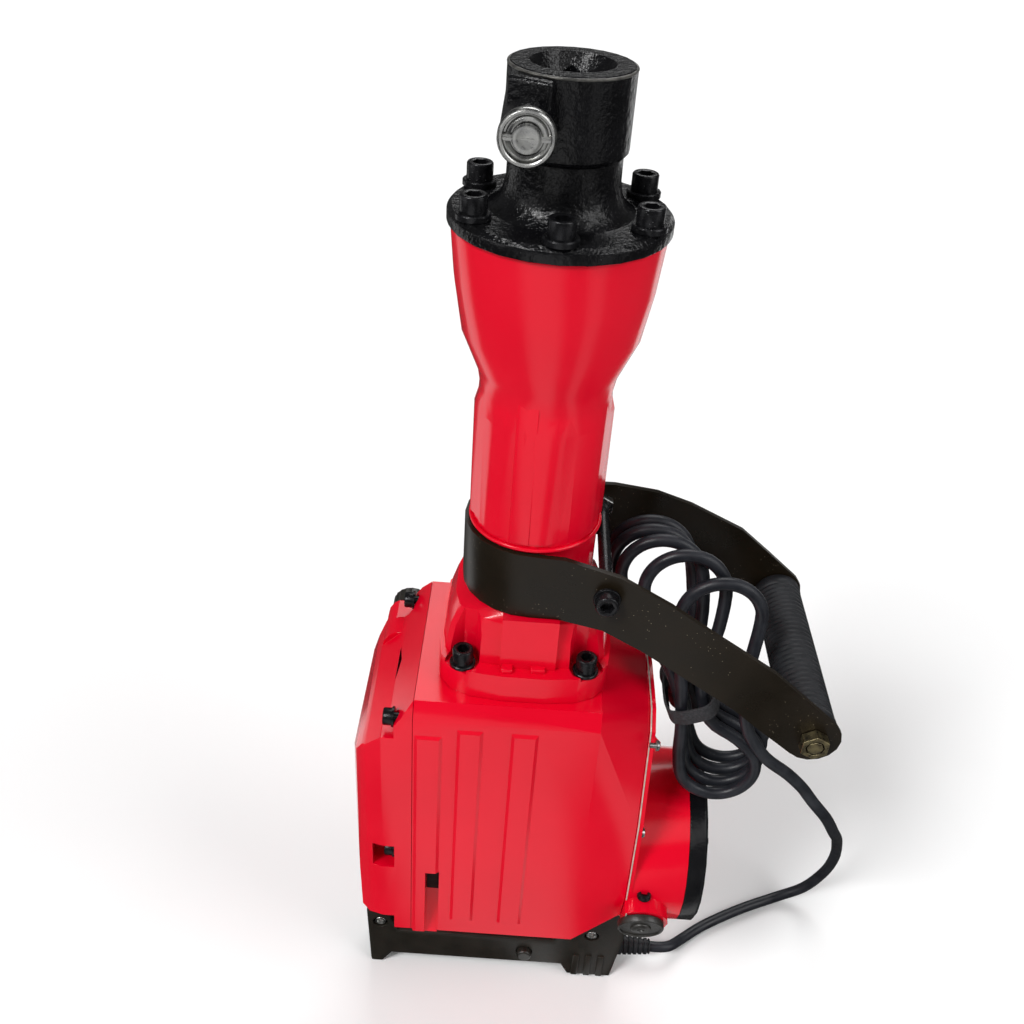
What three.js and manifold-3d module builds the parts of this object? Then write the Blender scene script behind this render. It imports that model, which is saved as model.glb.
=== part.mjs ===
// Electric demolition hammer that stands nose up on its D-handle. Millimetres, +Z up.
// Every piece is placed from the barrel axis, which is x = 0, y = 0, with the floor at z = 0.
import * as THREE from 'three';
import { mergeVertices } from 'three/addons/utils/BufferGeometryUtils.js';
import Module from 'manifold-3d';

const wasm = await Module();
wasm.setup();

// Clearances, cuts and facets
const seatGap = 0.3;
const runGap = 0.4;
const cutOver = 5;
const weldReach = 0.0001;
const largeSides = 24;
const midSides = 16;
const smallSides = 8;

// Gear train from the motor up to the crank
const motorHeight = 160;
const fineModule = 1.5;
const coarseModule = 2.5;
const pinionTeeth = 9;
const wheelTeeth = 39;
const midPinionTeeth = 12;
const crankTeeth = 39;
const gearReach = 2.2;
const middleHeight = motorHeight + fineModule * (pinionTeeth + wheelTeeth) / 2;
const crankHeight = middleHeight + coarseModule * (midPinionTeeth + crankTeeth) / 2;
const wheelSpace = fineModule * (wheelTeeth + 2) / 2 + gearReach;
const crankGearSpace = coarseModule * (crankTeeth + 2) / 2 + gearReach;
const pinionSpace = fineModule * (pinionTeeth + 2) / 2 + gearReach;

// Crank, rod and the striking line
const crankThrow = 22;
const crankPinRadius = 8;
const crankWebRadius = 32;
const crankShaftRadius = 12;
const crankWebLeft = -24;
const crankWebRight = -11;
const crankGearLeft = -79;
const crankGearRight = -70;
const crankShaftEnd = -92;
const rodLength = 72;
const smallEndRadius = 10;
const smallEndBore = 5;
const bigEndRadius = 14;
const rodThick = 14;
const rodWidth = 13;
const pistonRide = 0.55;
const pistonRadius = 25.5;
const pistonLength = 32;
const pistonWall = 5;
const strikerRide = 0.7;
const strikerNeck = 17;
const strikerNeckLength = 14;
const anvilRide = 1;
const linerWall = 4;
const sweepRoom = 2;

// Crank case
const caseHalf = 65;
const caseLeft = -66;
const caseTurn = 50;
const caseRight = 84;
const caseRise = 76.25;
const motorRadius = 62;
const motorBore = 51;
const wallLeft = -46;
const wallRight = -30;
const chamberRight = 40;
const chamberHalf = 37.5;
const chamberDrop = 41.5;
const chamberRoof = 6;
const caseWall = 7;
const caseFloor = 20;
const hollowRight = 46;
const hollowRoof = 28;
const panelThick = 1.6;
const panelSlope = 2;
const slotDepth = 12;
const caseTop = crankHeight + caseRise;
const caseBottom = motorHeight - motorRadius;

// Gear cover on the left of the crank case
const coverLeft = -106;
const coverRound = 20;
const coverCavity = -83;
const coverBoltY = 57;
const coverBoltUp = 59.25;
const coverBoltDown = 67.75;
const coverBoltSeat = -78;
const pocketWide = 15;
const pocketDeep = 16;
const pocketHalf = 11;
const oilCapX = -83;
const oilCapRise = 35;
const oilCapRadius = 13.5;
const oilCapLength = 20;
const oilBossRadius = 15.5;
const oilBossLength = 4;

// Cylinder case: square foot, neck and bell
const footHalf = 54;
const footThick = 20;
const footSlope = 38;
const bossLeft = -15;
const bossRight = 19;
const footBoltX = 38;
const footBoltY = 41;
const footPocket = 11;
const footPocketDeep = 3;
const neckRadius = 38;
const neckRidge = 1.6;
const ridgeCount = 8;
const ridgeStart = 110;
const ridgeTaper = 9;
const ridgeDrop = 4;
const barrelLength = 285.7;
const bellHeight = 92;
const linerBase = 18;
const counterTop = 13;
const bellRadius = 56;
const ledgeThick = 9;
const guideRadius = 38;
const guideRise = 20;
const guideRim = 0.6;
const anvilRadius = 15;
const anvilNose = 12.5;
const anvilCollar = 21;
const anvilCollarLength = 12;
const anvilBelow = 5;
const anvilDrop = 3.7;
const anvilNoseLength = 18;
const anvilTravel = 8;

// Front cover and its tool stop
const coverHeight = 77.7;
const flangeRadius = 57.5;
const flangeThick = 8;
const coverRadius = 31;
const coverWaist = 28.5;
const mouthRadius = 21;
const mouthDepth = 9;
const hexAcross = 30;
const hexDepth = 68;
const frontBoltRing = 49.5;
const frontBoltCount = 6;
const leverX = -19;
const leverDrop = 23;
const leverRadius = 7;
const leverBossRadius = 13;
const leverBossWall = 3;
const leverFront = 45;
const leverRear = 36;
const leverFlat = 3.6;
const leverHeadRadius = 11.5;
const leverHeadThick = 5;
const rollPinRadius = 1.9;
const rollPinLength = 26;

// Side handle
const strapRise = 81;
const strapWidth = 45;
const strapThick = 3.5;
const armWidth = 36;
const gripX = 176;
const gripDrop = 77;
const gripLength = 138;
const gripRadius = 15.5;
const gripRibs = 9;
const gripRibDepth = 1.2;
const clampX = 44;
const clampRise = 3;
const clampSlack = 2.2;

// Motor
const flangePlate = 4;
const housingRight = 125;
const tailRight = 138;
const housingWall = 8;
const brushX = 97;
const brushTilt = THREE.MathUtils.degToRad(15);
const brushCapRadius = 16.3;
const brushCapOut = 75;
const brushCapThick = 5;
const brushBossWall = 3;
const brushWide = 8;
const brushTall = 16;
const brushStem = 9;
const brushStemReach = 14;
const brushHolder = 12.5;
const brushSlot = 1.6;
const commutatorRadius = 17;
const commutatorLeft = 87;
const commutatorRight = 108;
const armatureRadius = 28.5;
const armatureShaft = 7;
const statorBore = 30;
const coreLeft = 4;
const coreRight = 66;
const windingLength = 8;
const pinionLeft = -65;
const pinionRight = -50;
const bearingRadius = 17;
const crankBearingRadius = 26;
const bearingLength = 12;
const bearingLip = 2.5;
const tailBearing = 116;
const tailWall = 5;
const tailVents = 10;
const tailVentWide = 5;
const fanLeft = -24;
const fanRight = -8;
const fanRadius = 46;
const fanBlades = 9;
const fanPlate = 2.5;
const middleShaftRadius = 8;
const middleShaftLeft = -92;
const middleShaftRight = -36;
const wheelLeft = -64;
const wheelRight = -52;
const midPinionLeft = -81;
const midPinionRight = -68;

// D-handle
const handleHalf = 22;
const handleRound = 4;
const toeOutLeft = -103.5;
const toeInLeft = -93.5;
const postInLeft = -86;
const postOutLeft = -106;
const postTopLeft = -101;
const toeInRight = 56;
const toeOutRight = 92;
const postInRight = 48;
const postOutRight = 98;
const barTop = 44;
const barBottom = 12;
const postTop = 97.7;
const leftPostTop = 125.7;
const handleWall = 5.5;
const cavityLeft = -70;
const cavityRight = 32;
const cavityHalf = 16.5;
const switchLeft = -56;
const switchRight = 6;
const switchHalf = 12;
const switchHigh = 10;
const triggerLeft = -50;
const triggerRight = 6;
const triggerHalf = 6.5;
const triggerOut = 10;
const triggerLip = 4;
const lockX = 20;
const lockHeight = 28;
const lockRadius = 6;
const lockOut = 5;
const lockInner = 13;
const handleBoltX = 72;
const handleBoltLeft = -95;
const handleBoltHeight = 54;

// Cord: rubber lead from the right foot to the hank
const cordRadius = 4.25;
const armorRadius = 8;
const armorBody = 7;
const armorTip = 6;
const armorLength = 32;
const armorLip = 3;
const armorSeat = 16;
const exitX = 92;
const exitHeight = 14;
const hankX = 113;
const hankHeight = 306;
const hankUpper = 97;
const hankShort = 22;
const hankLower = 53;
const hankFold = 25.5;
const hankWaist = 6;
const hankPitch = 9.5;
const hankLoops = 5;
const hankLean = 0.08;
const hankBlend = 45;
const hankUpTilt = 22;
const hankFan = 28;
const hankDownTilt = 27;
const hankDownFan = 4;
const hankExit = 9;
const plugTilt = 30;
const gapSteps = 6;
const leadSides = 8;
const leadSteps = 30;
const tieInnerWide = 15;
const tieAside = 1.4;
const tieSlack = 1.2;
const tieTilt = 22;
const tieWide = 12;
const tieThick = 2.2;
const plugRadius = 18;
const plugLength = 30;
const plugNeck = 24;
const plugPinRadius = 2.4;
const plugPinLength = 19;
const plugPinSpread = 9.5;
const plugY = 43;

// Bolts: head, head height, shank, shank length, washer and washer height
const frontBolt = { head: 7, high: 12, shank: 4, reach: 22, washer: 9, washerHigh: 3 };
const footBolt = { head: 6.5, high: 12, shank: 4, reach: 38, washer: 8, washerHigh: 2 };
const coverBolt = { head: 5.5, high: 7, shank: 3, reach: 26, washer: 6.5, washerHigh: 1.5 };
const clampBolt = { head: 7, high: 8, shank: 4, reach: 100, washer: 8, washerHigh: 1.6 };
const gripBolt = { head: 8, high: 7, shank: 5, reach: 160, washer: 10, washerHigh: 2 };
const handleBolt = { head: 4.5, high: 4, shank: 2.5, reach: 34, washer: 5.5, washerHigh: 1 };

// A closed three.js geometry as a solid that can be joined and cut.
function solid(geometry) {
  const bare = geometry.index ? geometry.toNonIndexed() : geometry.clone();
  bare.deleteAttribute('normal');
  bare.deleteAttribute('uv');
  const welded = mergeVertices(bare, weldReach);
  const source = welded.index.array;
  const corners = [];
  for (let i = 0; i < source.length; i += 3) {
    const [a, b, c] = source.slice(i, i + 3);
    if (a !== b && b !== c && c !== a) corners.push(a, b, c);
  }
  const vertProperties = new Float32Array(welded.attributes.position.array);
  const make = (triVerts) => new wasm.Manifold(new wasm.Mesh({ numProp: 3, vertProperties, triVerts }));
  const made = make(new Uint32Array(corners));
  return made.volume() < 0 ? make(new Uint32Array(corners.reverse())) : made;
}

// Turns a geometry made along Z so that it runs along the named axis, then moves it.
function along(geometry, axis, at) {
  if (axis === 'x') geometry.rotateY(Math.PI / 2);
  if (axis === 'y') geometry.rotateX(-Math.PI / 2);
  return solid(geometry.translate(...at));
}

// A profile of [radius, height] turned about an axis. A profile off the axis closes on itself.
function turned(profile, count = midSides, axis = 'z', at = [0, 0, 0]) {
  const closed = profile[0][0] > 0 ? [...profile, profile[0]] : profile;
  const points = closed.map(([r, h]) => new THREE.Vector2(r, h));
  return along(new THREE.LatheGeometry(points, count).rotateX(Math.PI / 2), axis, at);
}

function rod(radius, from, to, count = midSides, axis = 'z', at = [0, 0, 0]) {
  return turned([[0, from], [radius, from], [radius, to], [0, to]], count, axis, at);
}

// The corner radius of a faceted bore whose flats clear the given radius.
function boreFor(radius, count = midSides) {
  return radius / Math.cos(Math.PI / count);
}

// A cutter for a bore that clears the given radius.
function bore(radius, from, to, axis = 'z', at = [0, 0, 0], count = midSides) {
  return rod(boreFor(radius, count), from, to, count, axis, at);
}

function block([x0, x1], [y0, y1], [z0, z1]) {
  const geometry = new THREE.BoxGeometry(x1 - x0, y1 - y0, z1 - z0);
  return solid(geometry.translate((x0 + x1) / 2, (y0 + y1) / 2, (z0 + z1) / 2));
}

// An outline extruded along an axis: [x, y] along z, [x, z] along y, [y, z] along x.
function slab(outline, [from, to], axis, options = {}) {
  const shape = new THREE.Shape(outline.map(([a, b]) => new THREE.Vector2(a, b)));
  const bevel = options.bevel ?? 0;
  const geometry = new THREE.ExtrudeGeometry(shape, {
    depth: to - from - 2 * bevel,
    bevelEnabled: bevel > 0,
    bevelThickness: bevel,
    bevelSize: bevel,
    bevelOffset: -bevel,
    bevelSegments: 2,
    curveSegments: smallSides,
  });
  geometry.translate(0, 0, from + bevel);
  if (axis === 'y') geometry.rotateX(Math.PI / 2).translate(0, from + to, 0);
  if (axis === 'x') geometry.rotateX(Math.PI / 2).rotateZ(Math.PI / 2);
  return solid(geometry);
}

// A skin over rings of equal point counts, closed by a flat fan at each end.
function skinned(rings) {
  const count = rings[0].length;
  const positions = rings.flat(2);
  const corners = [];
  for (let r = 0; r + 1 < rings.length; r += 1) {
    for (let i = 0; i < count; i += 1) {
      const j = (i + 1) % count;
      const [a, b] = [r * count + i, r * count + j];
      corners.push(a, b, b + count, a, b + count, a + count);
    }
  }
  for (const [ring, last] of [[rings[0], false], [rings.at(-1), true]]) {
    const centre = [0, 1, 2].map((k) => ring.reduce((sum, p) => sum + p[k], 0) / count);
    const hub = positions.length / 3;
    positions.push(...centre);
    const base = last ? (rings.length - 1) * count : 0;
    for (let i = 0; i < count; i += 1) {
      const j = (i + 1) % count;
      corners.push(hub, ...(last ? [base + i, base + j] : [base + j, base + i]));
    }
  }
  const geometry = new THREE.BufferGeometry();
  geometry.setAttribute('position', new THREE.Float32BufferAttribute(positions, 3));
  geometry.setIndex(corners);
  return solid(geometry);
}

function mirrored(points) {
  return [...points, ...points.map(([y, z]) => [-y, z]).reverse()];
}

// A gear outline with a tooth centred on the given angle.
const toothShares = [[-1.25, -0.3], [1, -0.12], [1, 0.12], [-1.25, 0.3]];
function gear(teeth, module, centred, span, hole = 0) {
  const outline = [];
  for (let i = 0; i < teeth; i += 1) {
    for (const [out, turn] of toothShares) {
      const radius = module * (teeth / 2 + out);
      const angle = centred + 2 * Math.PI * (i + turn) / teeth;
      outline.push([radius * Math.cos(angle), radius * Math.sin(angle)]);
    }
  }
  const made = slab(outline, span, 'z');
  return hole ? made.subtract(bore(hole, span[0] - cutOver, span[1] + cutOver)) : made;
}

// A socket screw along Z with its head above the origin plane.
function socketBolt({ head, high, shank, reach, washer, washerHigh }) {
  const socket = head / 2;
  const body = turned([
    [0, -reach], [shank, -reach], [shank, 0], [washer, 0],
    [washer, washerHigh], [head, washerHigh], [head, high], [0, high],
  ], smallSides);
  return body.subtract(rod(socket, high / 2, high + cutOver, 6));
}

function paint(color, roughness, metalness) {
  return new THREE.MeshStandardMaterial({ color, roughness, metalness, flatShading: true });
}

const materials = {
  red: paint(0xd8021f, 0.28, 0),
  castIron: paint(0x0c0c0d, 0.35, 0.4),
  strapSteel: paint(0x17120d, 0.3, 0.6),
  rubber: paint(0x141416, 0.85, 0),
  plastic: paint(0x17171a, 0.55, 0),
  blackBolt: paint(0x101012, 0.4, 0.7),
  zinc: paint(0xc9c6bd, 0.32, 1),
  steel: paint(0x9a9ca0, 0.25, 1),
  lamination: paint(0x4c4d50, 0.5, 0.8),
  copper: paint(0xb8703a, 0.35, 1),
  carbon: paint(0x1c1c1e, 0.9, 0.1),
};

function add(group, name, shape, material) {
  const { vertProperties, triVerts } = shape.getMesh();
  const geometry = new THREE.BufferGeometry();
  geometry.setAttribute('position', new THREE.BufferAttribute(vertProperties, 3));
  geometry.setIndex(new THREE.BufferAttribute(triVerts, 1));
  geometry.computeVertexNormals();
  const mesh = new THREE.Mesh(geometry, material);
  mesh.name = name;
  group.add(mesh);
  return mesh;
}

function groupAt(parent, x, y, z) {
  const group = new THREE.Group();
  group.position.set(x, y, z);
  parent.add(group);
  return group;
}

const hammer = new THREE.Group();
const body = groupAt(hammer, 0, 0, 0);

// Crank case: a flat-faced box that blends into the round motor seat on its right.
const boxShares = [
  [0.3, 0], [0.69, 0], [1, 0.06], [1, 0.26], [1, 0.56], [1, 0.953], [0.9, 1], [0.3, 1],
];
const motorSeatAngles = [-75, -50, -25, 0].map(THREE.MathUtils.degToRad);
const humpShares = [[0.93, 0.41], [0.65, 0.818], [0.45, 0.87], [0.2, 0.875]];
const boxRing = mirrored(boxShares.map(
  ([y, z]) => [y * caseHalf, caseBottom + z * (caseTop - caseBottom)],
));
const seatRing = mirrored([
  ...motorSeatAngles.map((a) => [
    motorRadius * Math.cos(a), motorHeight + motorRadius * Math.sin(a),
  ]),
  ...humpShares.map(([y, z]) => [y * motorRadius, motorHeight + z * (caseTop - motorHeight)]),
]);
const ringAt = (ring, x) => ring.map(([y, z]) => [x, y, z]);
const chamberFloor = crankHeight - chamberDrop;
const sweepRadius = crankThrow + smallEndRadius + sweepRoom;
const tapped = (bolt) => boreFor(bolt.shank + seatGap, smallSides);
const caseBolts = [[-1, -1], [1, -1], [1, 1], [-1, 1]];
const panelShares = [[-1, -0.73, 0.05, 0.9], [-0.59, -0.34, 0.12, 0.93], [-0.07, 0.19, 0.12, 0.93]];
const slotShares = { x: [-0.868, -0.722], z: [0.046, 0.34], sill: 0.2 };
const heightAt = (share) => caseBottom + share * (caseTop - caseBottom);

let crankCase = skinned([
  ringAt(boxRing, caseLeft), ringAt(boxRing, caseTurn), ringAt(seatRing, caseRight),
]);
// Raised panels of the front face, with sloping edges.
for (const [from, to, foot, top] of panelShares) {
  const panelRing = (y, inset) => [
    [from * caseHalf + inset, y, heightAt(foot) + inset],
    [to * caseHalf - inset, y, heightAt(foot) + inset],
    [to * caseHalf - inset, y, heightAt(top) - inset],
    [from * caseHalf + inset, y, heightAt(top) - inset],
  ];
  crankCase = crankCase.add(skinned([
    panelRing(panelThick - caseHalf, 0), panelRing(-caseHalf, 0),
    panelRing(-caseHalf - panelThick, panelSlope),
  ]));
}
const motorLine = [0, 0, motorHeight];
const middleLine = [0, 0, middleHeight];
const crankLine = [0, 0, crankHeight];
const outside = caseLeft - cutOver;
crankCase = crankCase
  .subtract(bore(motorBore, wallRight, caseRight + cutOver, 'x', motorLine, largeSides))
  .subtract(bore(bearingRadius + seatGap, wallLeft + bearingLip, wallRight + cutOver, 'x', motorLine))
  .subtract(bore(pinionSpace, outside, wallLeft + cutOver, 'x', motorLine))
  .subtract(bore(wheelSpace, outside, wallLeft, 'x', middleLine))
  .subtract(bore(middleShaftRadius + runGap, outside, middleShaftRight + runGap, 'x', middleLine))
  .subtract(bore(crankBearingRadius + seatGap, wallLeft, wallRight + cutOver, 'x', crankLine))
  .subtract(bore(crankShaftRadius + gearReach, outside, wallLeft + cutOver, 'x', crankLine))
  .subtract(block(
    [wallRight, chamberRight], [-chamberHalf, chamberHalf], [chamberFloor, caseTop - chamberRoof],
  ))
  .subtract(bore(sweepRadius, caseTop - chamberRoof - cutOver, caseTop + cutOver))
  .subtract(block(
    [wallRight, hollowRight], [caseWall - caseHalf, caseHalf - caseWall],
    [chamberFloor, caseTop - hollowRoof],
  ))
  .subtract(block(
    [wallRight, hollowRight], [caseWall - caseHalf, caseHalf - caseWall],
    [caseBottom + caseFloor, chamberFloor + cutOver],
  ).subtract(rod(
    motorBore + caseWall / 2, wallRight - cutOver, hollowRight + cutOver, largeSides, 'x', motorLine,
  )));
const footBoltEnd = caseTop + seatGap + footThick - footPocketDeep - footBolt.reach;
for (const [x, y] of caseBolts) {
  crankCase = crankCase.subtract(rod(
    tapped(footBolt), footBoltEnd, caseTop + cutOver, smallSides, 'z', [x * footBoltX, y * footBoltY, 0],
  ));
}
const coverBoltSpots = [
  [-1, coverBoltUp], [-1, -coverBoltDown], [1, coverBoltUp], [1, -coverBoltDown],
].map(([side, rise]) => [side * coverBoltY, crankHeight + rise]);
for (const [y, z] of coverBoltSpots) {
  crankCase = crankCase.subtract(rod(
    tapped(coverBolt), caseLeft - cutOver, coverBoltSeat + coverBolt.reach + seatGap,
    smallSides, 'x', [0, y, z],
  ));
}
const [slotLeft, slotRight] = slotShares.x.map((share) => share * caseHalf);
const [slotFoot, slotTop] = slotShares.z.map(heightAt);
const slotFace = -caseHalf - panelThick - cutOver;
crankCase = crankCase.subtract(slab([
  [slotFace, slotFoot], [-caseHalf, slotFoot], [slotDepth - caseHalf, heightAt(slotShares.sill)],
  [slotDepth - caseHalf, slotTop], [slotFace, slotTop],
], [slotLeft, slotRight], 'x'));
add(body, 'crank_case', crankCase, materials.red);

// Gear cover: the rounded left end, with bolt pockets that open to the front and rear.
const coverSeam = caseLeft - seatGap;
const coverShares = [
  [0, 0], [0.3, 0], [0.3, 0.118], [0.9, 0.118], [1, 0.58], [1, 0.765],
  [0.82, 0.83], [0.4, 0.9], [0, 1],
];
const coverOutline = coverShares.map(([x, z]) => [
  coverSeam + x * (coverLeft - coverSeam), caseBottom + z * (caseTop - caseBottom),
]);
const roundShares = [[1, 0], [0.5, 0.13], [0.13, 0.5], [0, 1]];
const roundPoints = roundShares.map(
  ([x, y]) => [coverLeft + x * coverRound, caseHalf - y * coverRound],
);
const coverPlan = [
  [coverSeam, caseHalf], ...roundPoints,
  ...roundPoints.map(([x, y]) => [x, -y]).reverse(), [coverSeam, -caseHalf],
];
const oilHeight = crankHeight + oilCapRise;
const oilBoss = rod(
  oilBossRadius, 0, oilBossLength + caseHalf / 2, midSides, 'y', [oilCapX, caseHalf / 2, oilHeight],
).subtract(block([coverSeam, 0], [0, 2 * caseHalf], [0, caseTop]));
const seamOver = coverSeam + cutOver;
const cavityOver = coverCavity + cutOver;
let gearCover = slab(coverOutline, [-caseHalf, caseHalf], 'y')
  .intersect(slab(coverPlan, [caseBottom - cutOver, caseTop + cutOver], 'z'))
  .intersect(slab(boxRing, [coverLeft - cutOver, coverSeam], 'x'))
  .add(oilBoss)
  .subtract(bore(crankGearSpace, coverCavity, seamOver, 'x', crankLine))
  .subtract(bore(crankShaftRadius + runGap, crankShaftEnd - runGap, cavityOver, 'x', crankLine))
  .subtract(bore(wheelSpace, coverCavity, seamOver, 'x', middleLine))
  .subtract(bore(middleShaftRadius + runGap, middleShaftLeft - runGap, cavityOver, 'x', middleLine))
  .subtract(bore(pinionSpace, caseLeft - cutOver, seamOver, 'x', motorLine));
for (const [y, z] of coverBoltSpots) {
  const side = Math.sign(y);
  const faces = [side * (caseHalf - pocketDeep), side * (caseHalf + cutOver)].sort((a, b) => a - b);
  gearCover = gearCover
    .subtract(block([coverBoltSeat - pocketWide, coverBoltSeat], faces, [z - pocketHalf, z + pocketHalf]))
    .subtract(rod(tapped(coverBolt), coverBoltSeat - cutOver, seamOver, smallSides, 'x', [0, y, z]));
}
add(body, 'gear_cover', gearCover, materials.red);
coverBoltSpots.forEach(([y, z], i) => {
  const bolt = add(body, `gear_cover_bolt_${i + 1}`, socketBolt(coverBolt), materials.blackBolt);
  bolt.position.set(coverBoltSeat - seatGap, y, z);
  bolt.rotation.y = -Math.PI / 2;
});
const oilCap = add(body, 'oil_gauge', turned([
  [0, 0], [oilCapRadius, 0], [oilCapRadius, oilCapLength * 0.8],
  [oilCapRadius * 0.85, oilCapLength], [0, oilCapLength],
]), materials.plastic);
oilCap.position.set(oilCapX, caseHalf + oilBossLength + seatGap, oilHeight);
oilCap.rotation.x = -Math.PI / 2;

// Cylinder case: measured up from the joint on top of the crank case.
const barrelBase = caseTop + seatGap;
const barrel = groupAt(body, 0, 0, barrelBase);
const pistonBase = crankHeight + crankThrow + rodLength + smallEndRadius + pistonRide - barrelBase;
const neckTop = barrelLength - bellHeight;
const guideTop = barrelLength - guideRim;
const guideBase = neckTop + guideRise;
const ledgeBase = guideBase - ledgeThick;
const anvilBase = ledgeBase - anvilBelow;
const strikerBase = pistonBase + pistonLength + 2 * crankThrow + strikerRide;
const strikerShare = 0.617;
const strikerLength = strikerShare * (anvilBase - anvilRide - strikerBase);
const linerInner = boreFor(pistonRadius + runGap, largeSides);
const linerOuter = linerInner + linerWall;
const bellShares = [[0.665, 0], [0.7, 0.12], [0.875, 0.38], [0.955, 0.68], [1, 0.98], [0.985, 1]];
const footRingShares = [[1, 0.35], [0.96, 0.68], [0.82, 0.86], [0.6, 0.96], [0.25, 1]];
const squareRing = (half, z) => {
  const corner = footRingShares.map(([x, y]) => [x * half, y * half]);
  return [
    ...corner,
    ...corner.map(([x, y]) => [-x, y]).reverse(),
    ...corner.map(([x, y]) => [-x, -y]),
    ...corner.map(([x, y]) => [x, -y]).reverse(),
  ].map(([x, y]) => [x, y, z]);
};
const roundRing = (radius, z) => squareRing(footHalf, z).map(([x, y]) => {
  const reach = Math.hypot(x, y);
  return [x * radius / reach, y * radius / reach, z];
});
const shoulderWideShare = 0.96;
const shoulderDeepShare = 0.82;
const blendRing = (share, z) => squareRing(footHalf, z).map(([x, y, h], i) => {
  const [u, v] = roundRing(neckRadius, z)[i];
  const [a, b] = [x * shoulderWideShare, y * shoulderDeepShare];
  return [a + share * (u - a), b + share * (v - b), h];
});
const shoulderShares = [[0, -0.01], [0.16, 0.5], [0.42, 0.85], [1, 1]];
let cylinderCase = turned([
  [0, footThick], [neckRadius * 0.9, footThick], [neckRadius, footThick + footSlope * 0.8],
  [neckRadius, neckTop * 0.93],
  ...bellShares.map(([r, h]) => [r * bellRadius, neckTop + h * bellHeight]),
  [0, barrelLength],
], largeSides)
  .add(skinned([squareRing(footHalf, 0), squareRing(footHalf, footThick)]))
  .add(skinned(shoulderShares.map(([share, z]) => blendRing(share, footThick + z * footSlope))))
  .add(block(
    [bossLeft, bossRight], [-footHalf * shoulderDeepShare - panelThick, 0], [0, footThick + footSlope],
  ));
const ridgeShares = [1, 1, -0.4, -0.4];
const ridgeRing = (z, share) => Array.from({ length: ridgeCount * ridgeShares.length }, (_, i) => {
  const angle = 2 * Math.PI * i / (ridgeCount * ridgeShares.length);
  const reach = neckRadius + neckRidge * Math.min(share, ridgeShares[i % ridgeShares.length]);
  return [reach * Math.cos(angle), reach * Math.sin(angle), z];
});
const ridgeTop = neckTop - ridgeDrop;
cylinderCase = cylinderCase
  .add(skinned([ridgeRing(ridgeStart, 1), ridgeRing(ridgeTop - ridgeTaper, 1), ridgeRing(ridgeTop, -0.5)]))
  .subtract(bore(linerOuter + seatGap, counterTop - cutOver, ledgeBase, 'z', [0, 0, 0], largeSides))
  .subtract(bore(sweepRadius, -cutOver, counterTop))
  .subtract(bore(anvilRadius + runGap, ledgeBase - cutOver, guideBase + cutOver))
  .subtract(bore(guideRadius + seatGap, guideBase, barrelLength + cutOver));
const frontBoltSpots = [];
for (let i = 0; i < frontBoltCount; i += 1) {
  const angle = 2 * Math.PI * i / frontBoltCount - Math.PI / 2;
  frontBoltSpots.push([frontBoltRing * Math.cos(angle), frontBoltRing * Math.sin(angle)]);
}
for (const [x, y] of frontBoltSpots) {
  cylinderCase = cylinderCase.subtract(rod(
    tapped(frontBolt), barrelLength + flangeThick - frontBolt.reach, barrelLength + cutOver,
    smallSides, 'z', [x, y, 0],
  ));
}
for (const [x, y] of caseBolts) {
  const at = [x * footBoltX, y * footBoltY, 0];
  cylinderCase = cylinderCase
    .subtract(rod(tapped(footBolt), -cutOver, footThick + cutOver, smallSides, 'z', at))
    .subtract(rod(footPocket, footThick - footPocketDeep, footThick + footSlope, smallSides, 'z', at));
}
add(barrel, 'cylinder_case', cylinderCase, materials.red);
caseBolts.forEach(([x, y], i) => {
  const bolt = add(barrel, `case_bolt_${i + 1}`, socketBolt(footBolt), materials.blackBolt);
  bolt.position.set(x * footBoltX, y * footBoltY, footThick - footPocketDeep + seatGap);
});
add(barrel, 'cylinder_liner', turned([
  [linerInner, linerBase], [linerOuter, linerBase],
  [linerOuter, ledgeBase - seatGap], [linerInner, ledgeBase - seatGap],
], largeSides), materials.steel);
const pistonInner = pistonRadius - pistonWall;
add(barrel, 'piston', turned([
  [pistonInner, pistonBase], [pistonRadius, pistonBase],
  [pistonRadius, pistonBase + pistonLength], [0, pistonBase + pistonLength],
  [0, pistonBase + pistonLength - pistonWall], [pistonInner, pistonBase + pistonLength - pistonWall],
  [pistonInner, pistonBase],
], largeSides), materials.steel);
add(barrel, 'striker', turned([
  [0, strikerBase], [pistonRadius, strikerBase],
  [pistonRadius, strikerBase + strikerLength - strikerNeckLength],
  [strikerNeck, strikerBase + strikerLength - strikerNeckLength],
  [strikerNeck, strikerBase + strikerLength], [0, strikerBase + strikerLength],
], largeSides), materials.steel);
const collarBase = guideBase + seatGap;
const collarTop = collarBase + anvilCollarLength;
const anvilTop = barrelLength - anvilDrop;
const anvilStep = anvilTop - anvilNoseLength;
add(barrel, 'impact_bolt', turned([
  [0, anvilBase], [anvilRadius, anvilBase], [anvilRadius, collarBase], [anvilCollar, collarBase],
  [anvilCollar, collarTop], [anvilRadius, collarTop], [anvilRadius, anvilStep],
  [anvilNose, anvilStep], [anvilNose, anvilTop], [0, anvilTop],
]), materials.steel);
const guideCollar = boreFor(anvilCollar + runGap);
const guideStem = boreFor(anvilRadius + runGap);
const guideStep = collarTop + anvilTravel + runGap;
add(barrel, 'impact_bolt_guide', turned([
  [guideCollar, guideBase + seatGap], [guideRadius, guideBase + seatGap],
  [guideRadius, guideTop], [guideStem, guideTop],
  [guideStem, guideStep], [guideCollar, guideStep],
]), materials.steel);

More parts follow.
